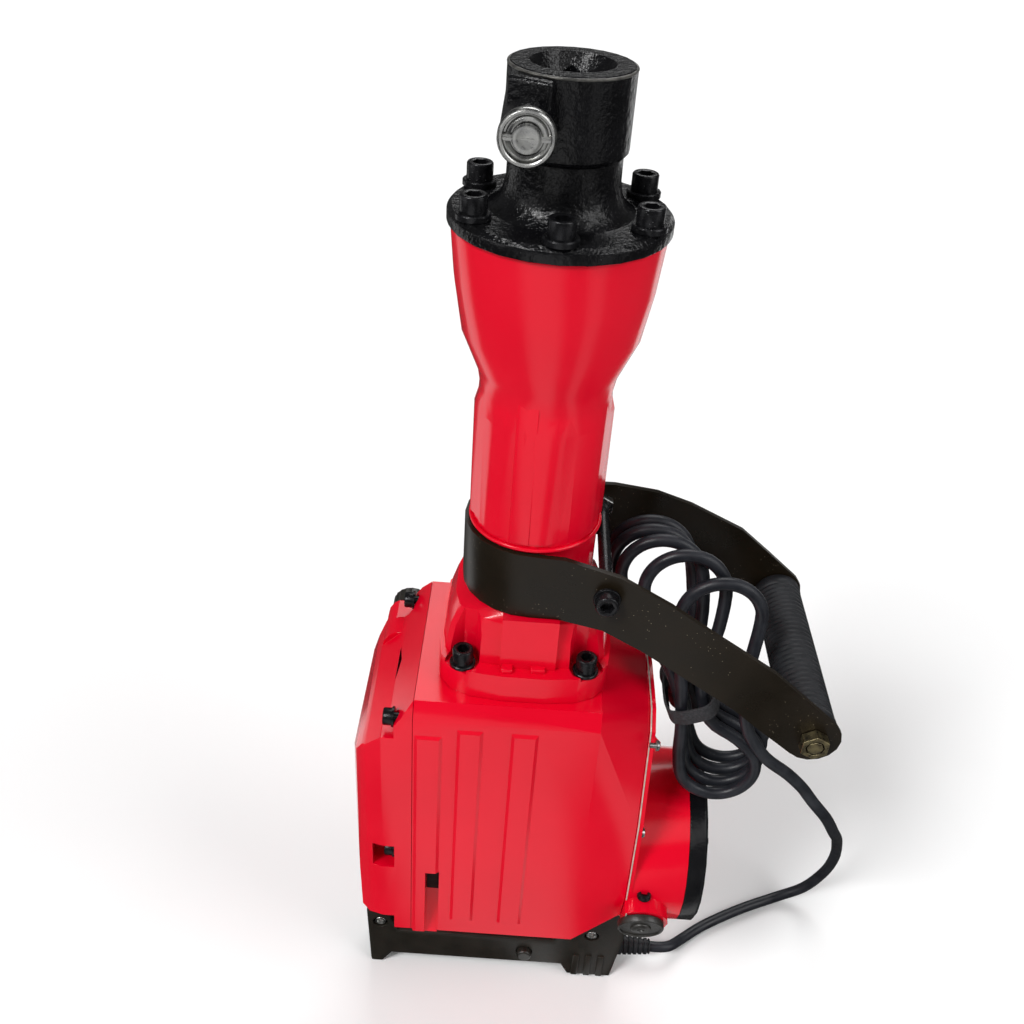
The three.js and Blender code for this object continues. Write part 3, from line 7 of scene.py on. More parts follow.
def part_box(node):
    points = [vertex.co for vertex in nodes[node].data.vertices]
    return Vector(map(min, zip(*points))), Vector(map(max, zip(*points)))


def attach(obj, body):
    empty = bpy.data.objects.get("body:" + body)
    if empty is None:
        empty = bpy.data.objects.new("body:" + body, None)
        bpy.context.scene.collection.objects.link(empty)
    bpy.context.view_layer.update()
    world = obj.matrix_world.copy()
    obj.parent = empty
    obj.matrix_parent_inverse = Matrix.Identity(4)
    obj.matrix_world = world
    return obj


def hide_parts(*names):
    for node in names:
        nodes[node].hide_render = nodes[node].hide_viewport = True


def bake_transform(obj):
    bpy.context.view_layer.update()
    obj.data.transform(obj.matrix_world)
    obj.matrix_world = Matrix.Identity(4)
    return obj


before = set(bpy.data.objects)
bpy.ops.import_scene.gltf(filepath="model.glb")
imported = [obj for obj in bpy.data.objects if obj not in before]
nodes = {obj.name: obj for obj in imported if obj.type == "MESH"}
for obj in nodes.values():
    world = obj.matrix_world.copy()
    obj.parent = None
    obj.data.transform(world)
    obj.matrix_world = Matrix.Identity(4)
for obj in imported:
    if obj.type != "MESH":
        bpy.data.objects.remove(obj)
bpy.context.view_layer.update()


# Camera: a little left of the hammer and higher than its nose, looking down 35 degrees
# over the front of the case, and rolled by 4 degrees.
bpy.ops.object.select_all(action="DESELECT")
bpy.ops.object.camera_add()
camera = bpy.context.object
camera_place = (-0.05755, -0.5476, 0.821)
pitch, roll = math.radians(35), math.radians(4)
level = Vector((1, 0, 0))
ahead = Vector((0, math.cos(pitch), -math.sin(pitch)))
below = Vector((0, -math.sin(pitch), -math.cos(pitch)))
camera_side = level * math.cos(roll) - below * math.sin(roll)
camera_top = -level * math.sin(roll) - below * math.cos(roll)
camera.matrix_world = (
    Matrix.Translation(camera_place)
    @ Matrix((camera_side, camera_top, -ahead)).transposed().to_4x4()
)
camera.data.sensor_width = 36
camera.data.lens = 38.67
bpy.context.scene.camera = camera
bpy.context.scene.view_settings.view_transform = "Standard"


# Power cord: a black rubber flex of 8.5 mm. It leaves the right foot of the D-handle,
# crosses the floor behind the hammer and hangs in a tied hank inside the side handle.
barrel_x, barrel_y = -0.04355, -0.0046


def at(x, y, z):
    """A place in millimetres from the foot of the barrel's axis, as one in the part's frame."""
    return Vector((x / 1000 + barrel_x, y / 1000 + barrel_y, z / 1000))


def mix(a, b, share):
    return a + (b - a) * share


def ease(t):
    """Rises smoothly from 0 to 1 with t."""
    s = min(max(t, 0), 1)
    return s * s * (3 - 2 * s)


flex_radius = 4.25
loops, layer_pitch = 5, 9.5
waist, fold_radius, lower_run, longest_run, run_change = 6, 25.5, 53, 97, 22
last_tilt, tilt_change, first_lower_tilt, lower_fan, plug_tilt = 22, 28, 27, 4, 30
hank_lean, turn_reach, fold_steps = 0.08, 45, 7
hank_middle = Vector((113, 0, 306))
fade = [(1 - k / (loops - 1)) ** 3 for k in range(loops)]
upper_tilt = [last_tilt - tilt_change * share for share in fade]
lower_tilt = [first_lower_tilt + lower_fan * k for k in range(loops - 1)] + [plug_tilt]
upper_run = [longest_run - run_change * share for share in fade]
layer = [(k - (loops - 1) / 2) * layer_pitch for k in range(loops)]


def hank_spot(along, aside, through, up, down):
    """A place in the hank: along it from the waist, across it and through it."""
    tilt = math.radians(mix(down, up, ease((along + turn_reach) / (2 * turn_reach))))
    return Vector((
        aside * math.cos(tilt) - along * math.sin(tilt),
        through + hank_lean * along,
        along * math.cos(tilt) + aside * math.sin(tilt),
    ))


def fold(k, sign):
    """The half circle at the upper (1) or lower (-1) end of loop k."""
    run = upper_run[k] if sign > 0 else lower_run
    turns = [math.pi * i / fold_steps for i in range(fold_steps + 1)]
    return [
        hank_spot(
            sign * (run + fold_radius * math.sin(turn)), sign * fold_radius * math.cos(turn),
            layer[k], upper_tilt[k], lower_tilt[k],
        )
        for turn in turns
    ]


def half_width(along, run):
    """The hank is narrow at its tied waist and as wide as a fold at its ends."""
    return mix(waist, fold_radius, ease(abs(along) / run))


def strand(side, start, end, k):
    """The run between two folds. It climbs from layer start to layer end."""
    above = upper_run[end]
    spots = [0.66 * above, 0.25 * above, -0.25 * lower_run, -0.66 * lower_run]
    return [
        hank_spot(
            along, side * half_width(along, above if along > 0 else lower_run),
            mix(layer[start], layer[end], ease((along + lower_run) / (above + lower_run))),
            upper_tilt[end], lower_tilt[k],
        )
        for along in (spots if side < 0 else reversed(spots))
    ]


lead_in = [(205, -21, 233), (200, -21, 239.7), (186, -24, 256), (166, -29, 276),
           (151, -30, 298), (144, -28, 322), (143, -22, 348)]
hank_line = [Vector(spot) - hank_middle for spot in lead_in]
for k in range(loops - 1):
    hank_line += fold(k, 1) + strand(-1, k, k, k) + fold(k, -1) + strand(1, k, k + 1, k)
hank_line += fold(loops - 1, 1)
plug_above, plug_layer = 9, 43
for share in (0.66, 0.4):
    along = share * upper_run[-1]
    hank_line.append(hank_spot(
        along, -half_width(along, upper_run[-1]), mix(plug_layer, layer[-1], ease(share)),
        upper_tilt[-1], lower_tilt[-1],
    ))
plug_root = hank_spot(plug_above, -waist, plug_layer, upper_tilt[-1], lower_tilt[-1])
plug_way = hank_spot(0, -waist, plug_layer, upper_tilt[-1], lower_tilt[-1]) - plug_root
plug_way.normalize()
hank_line += [plug_root - plug_way * 2 * flex_radius, plug_root]
cord_exit = (124.4, 0, 14)
lead_line = [
    cord_exit, (133, 0, 14), (141, 3, 12), (152, 13, 7.5), (172, 29, 5), (206, 48, 5),
    (240, 63, 5.6), (262, 66, 17), (273, 62, 44), (272, 50, 80), (259, 28, 128), (241, 0, 171),
    (224, -16, 206), (210.4, -21, 225.8),
]
flex_spots = [Vector(spot) for spot in lead_line] + [spot + hank_middle for spot in hank_line]


def rounded_line(spots, steps):
    """A smooth curve through the places, with the given steps between each two. Each place is
    reached at a time that grows with the root of the distance, so that no bend overshoots."""
    ends = [spots[0] * 2 - spots[1], *spots, spots[-1] * 2 - spots[-2]]
    line = []
    for a, b, c, d in zip(ends, ends[1:], ends[2:], ends[3:]):
        ta = 0
        tb = ta + (b - a).length ** 0.5
        tc = tb + (c - b).length ** 0.5
        td = tc + (d - c).length ** 0.5
        for i in range(steps):
            t = mix(tb, tc, i / steps)
            ab = (a * (tb - t) + b * (t - ta)) / (tb - ta)
            bc = (b * (tc - t) + c * (t - tb)) / (tc - tb)
            cd = (c * (td - t) + d * (t - tc)) / (td - tc)
            abc = (ab * (tc - t) + bc * (t - ta)) / (tc - ta)
            bcd = (bc * (td - t) + cd * (t - tb)) / (td - tb)
            line.append((abc * (tc - t) + bcd * (t - tb)) / (tc - tb))
    return [*line, spots[-1]]


steps_between = 4
flex_line = [at(*spot) for spot in rounded_line(flex_spots, steps_between)]
bpy.ops.object.select_all(action="DESELECT")
flex_curve = bpy.data.curves.new("power_cord", "CURVE")
flex_curve.dimensions = "3D"
flex_curve.twist_mode = "MINIMUM"
flex_curve.bevel_depth = flex_radius / 1000
flex_curve.bevel_resolution = 5
flex_curve.use_fill_caps = True
flex_spline = flex_curve.splines.new("POLY")
flex_spline.points.add(len(flex_line) - 1)
for point, spot in zip(flex_spline.points, flex_line):
    point.co = (*spot, 1)
power_cord = bpy.data.objects.new("power_cord", flex_curve)
bpy.context.scene.collection.objects.link(power_cord)
power_cord.select_set(True)
bpy.context.view_layer.objects.active = power_cord
bpy.ops.object.convert(target="MESH")
power_cord = bpy.context.object
bpy.ops.object.shade_smooth()


def group(name, wanted, given):
    """A shader node group with named sockets: (name, kind, value) in and (name, kind) out."""
    tree = bpy.data.node_groups.new(name, "ShaderNodeTree")
    for label, kind, value in wanted:
        socket = tree.interface.new_socket(label, in_out="INPUT", socket_type="NodeSocket" + kind)
        socket.default_value = value
    for label, kind in given:
        tree.interface.new_socket(label, in_out="OUTPUT", socket_type="NodeSocket" + kind)
    return tree, tree.nodes.new("NodeGroupInput").outputs, tree.nodes.new("NodeGroupOutput").inputs


# Cloudy tone: two colours drift into each other over the surface.
mottle, m_in, m_out = group(
    "mottle",
    [("Scale", "Float", 60.0), ("Light", "Color", (1, 1, 1, 1)), ("Dark", "Color", (0, 0, 0, 1))],
    [("Color", "Color"), ("Mask", "Float")],
)
m_place = mottle.nodes.new("ShaderNodeTexCoord")
m_noise = mottle.nodes.new("ShaderNodeTexNoise")
m_noise.inputs["Detail"].default_value = 5
m_range = mottle.nodes.new("ShaderNodeMapRange")
m_range.interpolation_type = "SMOOTHSTEP"
m_range.inputs["From Min"].default_value = 0.25
m_range.inputs["From Max"].default_value = 0.75
m_mix = mottle.nodes.new("ShaderNodeMix")
m_mix.data_type = "RGBA"
mottle.links.new(m_place.outputs["Object"], m_noise.inputs["Vector"])
mottle.links.new(m_in["Scale"], m_noise.inputs["Scale"])
mottle.links.new(m_noise.outputs["Fac"], m_range.inputs["Value"])
mottle.links.new(m_range.outputs["Result"], m_mix.inputs["Factor"])
mottle.links.new(m_in["Dark"], m_mix.inputs[6])
mottle.links.new(m_in["Light"], m_mix.inputs[7])
mottle.links.new(m_mix.outputs[2], m_out["Color"])
mottle.links.new(m_range.outputs["Result"], m_out["Mask"])

# Relief: a coarse swell and a fine grain, added in the given shares.
relief, r_in, r_out = group(
    "relief",
    [("Coarse", "Float", 100.0), ("Fine", "Float", 900.0), ("Fine share", "Float", 0.3)],
    [("Height", "Float")],
)
r_place = relief.nodes.new("ShaderNodeTexCoord")
r_coarse = relief.nodes.new("ShaderNodeTexNoise")
r_coarse.inputs["Detail"].default_value = 3
r_fine = relief.nodes.new("ShaderNodeTexNoise")
r_fine.inputs["Detail"].default_value = 2
r_sum = relief.nodes.new("ShaderNodeMix")
relief.links.new(r_place.outputs["Object"], r_coarse.inputs["Vector"])
relief.links.new(r_place.outputs["Object"], r_fine.inputs["Vector"])
relief.links.new(r_in["Coarse"], r_coarse.inputs["Scale"])
relief.links.new(r_in["Fine"], r_fine.inputs["Scale"])
relief.links.new(r_in["Fine share"], r_sum.inputs["Factor"])
relief.links.new(r_coarse.outputs["Fac"], r_sum.inputs["A"])
relief.links.new(r_fine.outputs["Fac"], r_sum.inputs["B"])
relief.links.new(r_sum.outputs["Result"], r_out["Height"])

# Flecks: sparse small spots, as of dust or of metal that shows through paint.
flecks, f_in, f_out = group(
    "flecks", [("Scale", "Float", 300.0), ("Size", "Float", 0.1)], [("Mask", "Float")],
)
f_place = flecks.nodes.new("ShaderNodeTexCoord")
f_cells = flecks.nodes.new("ShaderNodeTexVoronoi")
f_patch = flecks.nodes.new("ShaderNodeTexNoise")
f_patch.inputs["Scale"].default_value = 35
f_near = flecks.nodes.new("ShaderNodeMath")
f_near.operation = "LESS_THAN"
f_some = flecks.nodes.new("ShaderNodeMath")
f_some.operation = "GREATER_THAN"
f_some.inputs[1].default_value = 0.55
f_both = flecks.nodes.new("ShaderNodeMath")
f_both.operation = "MULTIPLY"
flecks.links.new(f_place.outputs["Object"], f_cells.inputs["Vector"])
flecks.links.new(f_place.outputs["Object"], f_patch.inputs["Vector"])
flecks.links.new(f_in["Scale"], f_cells.inputs["Scale"])
flecks.links.new(f_cells.outputs["Distance"], f_near.inputs[0])
flecks.links.new(f_in["Size"], f_near.inputs[1])
flecks.links.new(f_patch.outputs["Fac"], f_some.inputs[0])
flecks.links.new(f_near.outputs[0], f_both.inputs[0])
flecks.links.new(f_some.outputs[0], f_both.inputs[1])
flecks.links.new(f_both.outputs[0], f_out["Mask"])


def finish(name, light, dark, scale, rough, grain, metal=0.0, fleck=None, **fixed):
    """A finish with a cloudy tone, a smooth and a rough share, a relief and maybe flecks.
    grain is the coarse scale, the fine scale, the fine share and the depth in metres;
    fleck is the scale, the size and the colour of its spots."""
    made = bpy.data.materials.new(name)
    made.use_nodes = True
    tree = made.node_tree
    shader = tree.nodes["Principled BSDF"]
    shader.inputs["Metallic"].default_value = metal
    for label, value in fixed.items():
        shader.inputs[label.replace("_", " ")].default_value = value
    tone = tree.nodes.new("ShaderNodeGroup")
    tone.node_tree = mottle
    tone.inputs["Scale"].default_value = scale
    tone.inputs["Light"].default_value = (*light, 1)
    tone.inputs["Dark"].default_value = (*dark, 1)
    colour = tone.outputs["Color"]
    if fleck:
        spots = tree.nodes.new("ShaderNodeGroup")
        spots.node_tree = flecks
        spots.inputs["Scale"].default_value = fleck[0]
        spots.inputs["Size"].default_value = fleck[1]
        over = tree.nodes.new("ShaderNodeMix")
        over.data_type = "RGBA"
        over.inputs[7].default_value = (*fleck[2], 1)
        tree.links.new(spots.outputs["Mask"], over.inputs["Factor"])
        tree.links.new(colour, over.inputs[6])
        colour = over.outputs[2]
    tree.links.new(colour, shader.inputs["Base Color"])
    gloss = tree.nodes.new("ShaderNodeMapRange")
    gloss.inputs["To Min"].default_value, gloss.inputs["To Max"].default_value = rough
    tree.links.new(tone.outputs["Mask"], gloss.inputs["Value"])
    tree.links.new(gloss.outputs["Result"], shader.inputs["Roughness"])
    skin = tree.nodes.new("ShaderNodeGroup")
    skin.node_tree = relief
    skin.inputs["Coarse"].default_value = grain[0]
    skin.inputs["Fine"].default_value = grain[1]
    skin.inputs["Fine share"].default_value = grain[2]
    bump = tree.nodes.new("ShaderNodeBump")
    bump.inputs["Distance"].default_value = grain[3]
    tree.links.new(skin.outputs["Height"], bump.inputs["Height"])
    tree.links.new(bump.outputs["Normal"], shader.inputs["Normal"])
    return made


flex_rubber = finish(
    "flex_rubber", (0.022, 0.024, 0.030), (0.011, 0.012, 0.016), 90, (0.32, 0.45),
    (160, 1400, 0.4, 0.00012), Specular_IOR_Level=0.3,
)
power_cord.data.materials.append(flex_rubber)
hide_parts("cord", "cord_hank")
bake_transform(power_cord)


# Plug: a round moulded plug on the cord's end, with a grooved neck and two nickel pins.
# It is pushed into the hank, so it rides with the side handle.
def start(add, **how):
    """Adds a primitive while nothing else is selected."""
    bpy.ops.object.select_all(action="DESELECT")
    add(**how)
    return bpy.context.object


def only(piece):
    bpy.ops.object.select_all(action="DESELECT")
    piece.select_set(True)
    bpy.context.view_layer.objects.active = piece


def bake(piece, kind, **settings):
    """Adds a modifier and applies it."""
    modifier = piece.modifiers.new(kind.lower(), kind)
    for label, value in settings.items():
        setattr(modifier, label, value)
    only(piece)
    bpy.ops.object.modifier_apply(modifier=modifier.name)


def turned(profile, sides=48):
    """A shape turned about Z: a disc extruded from ring to ring of (radius, height) in mm."""
    piece = start(
        bpy.ops.mesh.primitive_circle_add, vertices=sides, radius=profile[0][0] / 1000,
        fill_type="NGON",
    )
    bpy.ops.object.mode_set(mode="EDIT")
    bpy.ops.transform.translate(value=(0, 0, profile[0][1] / 1000))
    for (radius, height), (next_radius, next_height) in zip(profile, profile[1:]):
        bpy.ops.mesh.extrude_region_move(
            TRANSFORM_OT_translate={"value": (0, 0, (next_height - height) / 1000)}
        )
        widen = next_radius / radius
        bpy.ops.transform.resize(
            value=(widen, widen, 1), center_override=(0, 0, next_height / 1000)
        )
    bpy.ops.mesh.select_all(action="SELECT")
    bpy.ops.mesh.normals_make_consistent(inside=False)
    bpy.ops.object.mode_set(mode="OBJECT")
    return piece


def stand(piece, foot, way):
    """Turns a piece that was made along Z to run from its foot along the way."""
    piece.matrix_world = (
        Matrix.Translation(foot) @ Vector(way).to_track_quat("Z", "Y").to_matrix().to_4x4()
    )


def settle(piece, name, material, body, smooth=35):
    """Names a piece, puts its place in its mesh, and gives it its finish and body."""
    only(piece)
    bpy.ops.object.transform_apply(location=True, rotation=True, scale=True)
    bpy.ops.object.shade_smooth_by_angle(angle=math.radians(smooth))
    piece.name = piece.data.name = name
    piece.data.materials.clear()
    piece.data.materials.append(material)
    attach(piece, body)
    return piece


grip_rubber = finish(
    "grip_rubber", (0.019, 0.020, 0.023), (0.011, 0.012, 0.014), 90, (0.45, 0.6),
    (300, 1600, 0.5, 0.0002), Specular_IOR_Level=0.3,
)
nickel = finish(
    "nickel", (0.62, 0.60, 0.55), (0.45, 0.43, 0.39), 220, (0.2, 0.36), (300, 1800, 0.5, 0.00008),
    metal=1.0,
)
neck_rings = []
for i in range(6):
    radius, height = 6 + 0.45 * i, 1 + 3.4 * i
    groove = radius - 0.9
    neck_rings += [
        (radius, height), (radius, height + 2), (groove, height + 2.3), (groove, height + 3),
    ]
plug_body = turned([
    (5.4, 0), *neck_rings, (8.5, 21.8), (14, 24), (17, 26.5), (18, 30), (18, 35), (17.4, 36),
    (17.4, 37.5), (18, 38.5), (18, 51.5), (17.4, 53.2), (16.5, 54),
])
plug_gap, pin_spread = 0.3, 9.5
plug_foot = at(*(plug_root + hank_middle + plug_way * plug_gap))
stand(plug_body, plug_foot, plug_way)
settle(plug_body, "plug_body", grip_rubber, "side_handle")
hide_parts("plug")
for k, aside in enumerate((-pin_spread, pin_spread)):
    pin = turned([(2.4, 52), (2.4, 71.6), (2.1, 72.5), (1.3, 73)], 24)
    for vertex in pin.data.vertices:
        vertex.co.y += aside / 1000
    stand(pin, plug_foot, plug_way)
    settle(pin, f"plug_pin_{k + 1}", nickel, "side_handle")


# Cord tie: a strap of woven hook-and-loop tape that is pulled tight round the hank's waist,
# with its free end lapped over the outside.
tie_weave = finish(
    "tie_weave", (0.045, 0.045, 0.05), (0.016, 0.016, 0.018), 700, (0.8, 0.95),
    (900, 2600, 0.5, 0.0004),
)
tie_sides, tie_wide, tie_squareness, tie_tilt = 64, 0.0116, 0.55, 22
half_across, half_through = 15.4, 22.5
lap_thick, lap_start, lap_end, lap_fade = 1.2, 2.2, 4.1, 0.15
cord_tie = start(
    bpy.ops.mesh.primitive_circle_add, vertices=tie_sides, radius=1, fill_type="NOTHING",
)
for i, vertex in enumerate(cord_tie.data.vertices):
    angle = 2 * math.pi * i / tie_sides
    side, deep = math.cos(angle), math.sin(angle)
    lap = lap_thick * ease((angle - lap_start) / lap_fade) * ease((lap_end - angle) / lap_fade)
    vertex.co = Vector((
        math.copysign(abs(side) ** tie_squareness, side) * (half_across + lap) / 1000,
        math.copysign(abs(deep) ** tie_squareness, deep) * (half_through + lap) / 1000,
        -tie_wide / 2,
    ))
only(cord_tie)
bpy.ops.object.mode_set(mode="EDIT")
bpy.ops.mesh.select_all(action="SELECT")
bpy.ops.mesh.extrude_edges_move(TRANSFORM_OT_translate={"value": (0, 0, tie_wide)})
bpy.ops.mesh.select_all(action="SELECT")
bpy.ops.mesh.normals_make_consistent(inside=False)
bpy.ops.object.mode_set(mode="OBJECT")
bake(cord_tie, "SOLIDIFY", thickness=0.0018, offset=1)
bake(cord_tie, "BEVEL", width=0.0004, segments=2, limit_method="ANGLE")
cord_tie.matrix_world = (
    Matrix.Translation(at(*(hank_spot(0, 1.4, -2.4, tie_tilt, tie_tilt) + hank_middle)))
    @ Matrix.Rotation(math.radians(-tie_tilt), 4, "Y")
)
settle(cord_tie, "hank_tie", tie_weave, "side_handle")
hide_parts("cord_tie")


# Strain relief: a tapered rubber sleeve with bending grooves, moulded on the cord and held
# in the right foot of the D-handle.
sleeve_rings = []
for i in range(6):
    radius, height = 8 - 0.32 * i, 6 + 4.2 * i
    groove = radius - 1.2
    sleeve_rings += [
        (radius, height), (radius, height + 2.4), (groove, height + 2.7), (groove, height + 3.9),
    ]
strain_relief = turned([
    (6.6, -16), (7, -15.5), (7, 2.9), (8, 3), *sleeve_rings, (6.2, 31), (5.6, 32),
])
stand(strain_relief, at(92, 0, 14), (1, 0, 0))
settle(strain_relief, "strain_relief", grip_rubber, "hammer_body")
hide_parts("cord_armor")


def dress(material, *names):
    """The CAD nodes take the finish in their own material slots."""
    for name in names:
        nodes[name].material_slots[0].material = material


weld_reach, sharp_angle = 0.00001, math.radians(32)


def round_edges(width, *names):
    """Rounds the sharp edges of CAD nodes and shades them as cast metal. Their meshes stay."""
    for name in names:
        node = nodes[name]
        only(node)
        bpy.ops.mesh.customdata_custom_splitnormals_clear()
        bpy.ops.object.shade_smooth()
        weld = node.modifiers.new("weld", "WELD")
        weld.merge_threshold = weld_reach
        edge = node.modifiers.new("edge", "BEVEL")
        edge.width = width
        edge.segments = 3
        edge.limit_method = "ANGLE"
        edge.angle_limit = sharp_angle
        even = node.modifiers.new("even", "WEIGHTED_NORMAL")
        even.keep_sharp = True


red_enamel = finish(
    "red_enamel", (0.78, 0.0006, 0.019), (0.70, 0.0004, 0.016), 9, (0.14, 0.24),
    (150, 900, 0.2, 0.00008), fleck=(420, 0.05, (0.5, 0.02, 0.02)),
    Coat_Weight=0.12, Coat_Roughness=0.05, Specular_IOR_Level=0.26,
)
red_names = ["crank_case", "gear_cover", "cylinder_case", "motor_housing"]
dress(red_enamel, *red_names)
round_edges(0.0013, *red_names)


def block(middle, size, edge, steps, turn=0):
    """A block of the given size in metres with rounded edges, turned about Z."""
    piece = start(
        bpy.ops.mesh.primitive_cube_add, size=1, location=middle, scale=size,
        rotation=(0, 0, math.radians(turn)),
    )
    bpy.ops.object.transform_apply(location=False, rotation=False, scale=True)
    bpy.ops.object.mode_set(mode="EDIT")
    bpy.ops.mesh.select_all(action="SELECT")
    bpy.ops.mesh.bevel(offset=edge, segments=steps, affect="EDGES")
    bpy.ops.object.mode_set(mode="OBJECT")
    return piece


rib_rear, rib_middle, rib_high = -42, 357.4, 0.0042
for k, (left, right, front) in enumerate(((-13.8, -7, -51.2), (3.8, 13, -49.6))):
    rib = block(
        at((left + right) / 2, (front + rib_rear) / 2, rib_middle),
        ((right - left) / 1000, (rib_rear - front) / 1000, rib_high), 0.001, 3,
    )
    settle(rib, f"foot_rib_{k + 1}", red_enamel, "hammer_body")
# Case slot: a near-black plate set in the back of the slot's upper end is painted shade. It stands
# for the shade that falls deep in the slot.
slot_shade_plate = start(
    bpy.ops.mesh.primitive_cube_add, size=1, location=at(-51.65, -53.4, 162.4),
    scale=(0.0092, 0.0016, 0.0328),
)
bpy.ops.object.transform_apply(location=True, rotation=True, scale=True)
bake(slot_shade_plate, "BEVEL", width=0.0005, segments=2)
# The plate's near-black finish is painted shade for the deep slot.
slot_shade_black = finish(
    "slot_shade_black", (0.012, 0.008, 0.007), (0.005, 0.004, 0.004), 200, (0.5, 0.7),
    (400, 1800, 0.5, 0.0002), Specular_IOR_Level=0.2,
)
settle(slot_shade_plate, "case_slot_shade_plate", slot_shade_black, "hammer_body")
neck_rib = start(
    bpy.ops.mesh.primitive_cylinder_add, vertices=128, radius=0.0391, depth=0.092,
    location=at(0, 0, 491),
)
bpy.ops.object.transform_apply(location=True, rotation=True, scale=True)
bpy.ops.object.mode_set(mode="EDIT")
rib_cuts = [((-15, 0, 0), (-1, 0, 0)), ((-3.2, 0, 0), (1, 0, 0)), ((0, -30, 0), (0, 1, 0))]
for spot, way in rib_cuts:
    bpy.ops.mesh.select_all(action="SELECT")
    bpy.ops.mesh.bisect(plane_co=at(*spot), plane_no=way, use_fill=True, clear_outer=True)
bpy.ops.object.mode_set(mode="OBJECT")
bake(neck_rib, "BEVEL", width=0.0005, segments=2, limit_method="ANGLE")
taper_from, taper_depth = 0.53, 0.0016
for vertex in neck_rib.data.vertices:
    if vertex.co.z > taper_from:
        vertex.co.y += taper_depth
settle(neck_rib, "neck_rib", red_enamel, "hammer_body")
neck_collar = start(
    bpy.ops.mesh.primitive_torus_add, major_segments=112, minor_segments=12,
    major_radius=0.0386, minor_radius=0.0014, location=at(0, 0, 441.9),
)
settle(neck_collar, "neck_collar", red_enamel, "hammer_body", smooth=60)


# Joint gasket: a thin sheet of light fibre between the crank case and the motor housing's
# flange. It is cut to the flange's outline and stands a hair proud of it.
gasket_fibre = finish(
    "gasket_fibre", (0.72, 0.69, 0.60), (0.48, 0.46, 0.40), 260, (0.45, 0.65),
    (500, 2200, 0.5, 0.0001), metal=0.35,
)
joint_gasket = nodes["motor_housing"].copy()
joint_gasket.data = nodes["motor_housing"].data.copy()
joint_gasket.modifiers.clear()
bpy.context.scene.collection.objects.link(joint_gasket)
only(joint_gasket)
bpy.ops.object.mode_set(mode="EDIT")
bpy.ops.mesh.select_all(action="SELECT")
bpy.ops.mesh.remove_doubles(threshold=weld_reach)
gasket_right, gasket_left = 85.6, 84.8
for plane, side in ((gasket_right, True), (gasket_left, False)):
    bpy.ops.mesh.select_all(action="SELECT")
    bpy.ops.mesh.bisect(
        plane_co=at(plane, 0, 0), plane_no=(1, 0, 0), use_fill=True,
        clear_outer=side, clear_inner=not side,
    )
bpy.ops.mesh.select_all(action="SELECT")
bpy.ops.transform.resize(value=(1, 1.008, 1.006), center_override=at(85, 0, 206))
bpy.ops.mesh.normals_make_consistent(inside=False)
bpy.ops.object.mode_set(mode="OBJECT")
settle(joint_gasket, "joint_gasket", gasket_fibre, "hammer_body")


# Black castings: the front cover with its tool socket, and the motor's tail cover. Rough-cast
# iron under thick black gloss paint, which is worn to metal on the mouth's rim.
black_gloss = finish(
    "black_gloss", (0.005, 0.005, 0.006), (0.003, 0.003, 0.0035), 60, (0.1, 0.2),
    (300, 900, 0.25, 0.0011), fleck=(520, 0.1, (0.08, 0.08, 0.08)),
    Coat_Weight=0.06, Coat_Roughness=0.05, Specular_IOR_Level=0.24,
)
tail_black = finish(
    "tail_black", (0.007, 0.007, 0.008), (0.004, 0.004, 0.005), 50, (0.15, 0.26),
    (220, 900, 0.3, 0.0004), Coat_Weight=0.06, Coat_Roughness=0.08, Specular_IOR_Level=0.25,
)
dress(black_gloss, "front_cover")
dress(tail_black, "tail_cover")
round_edges(0.0009, "front_cover", "tail_cover")
worn_rim = finish(
    "worn_rim", (0.17, 0.165, 0.15), (0.012, 0.012, 0.013), 150, (0.25, 0.45),
    (420, 1500, 0.4, 0.0006), metal=0.5,
)
mouth_rim = start(
    bpy.ops.mesh.primitive_torus_add, major_segments=96, minor_segments=10,
    major_radius=0.0302, minor_radius=0.001, location=at(0, 0, 698.8),
)
flatness = 0.8
for vertex in mouth_rim.data.vertices:
    vertex.co.z *= flatness
settle(mouth_rim, "mouth_rim", worn_rim, "hammer_body", smooth=60)
flange_low, flange_high = 622.5, 628.1
flange_rim = start(
    bpy.ops.mesh.primitive_circle_add, vertices=160, radius=0.0577, fill_type="NOTHING",
    location=at(0, 0, flange_low),
)
bpy.ops.object.mode_set(mode="EDIT")
bpy.ops.mesh.extrude_edges_move(
    TRANSFORM_OT_translate={"value": (0, 0, (flange_high - flange_low) / 1000)}
)
bpy.ops.mesh.select_all(action="SELECT")
bpy.ops.mesh.normals_make_consistent(inside=False)
bpy.ops.object.mode_set(mode="OBJECT")
bake(flange_rim, "SOLIDIFY", thickness=0.002, offset=-1)
bake(flange_rim, "BEVEL", width=0.0005, segments=2, limit_method="ANGLE")
settle(flange_rim, "flange_rim", black_gloss, "hammer_body")
lug_turn = -26
lug_rib = block(at(-17.5, -25.2, 681.5), (0.023, 0.012, 0.033), 0.0022, 4, turn=lug_turn)
settle(lug_rib, "lug_rib", black_gloss, "hammer_body")


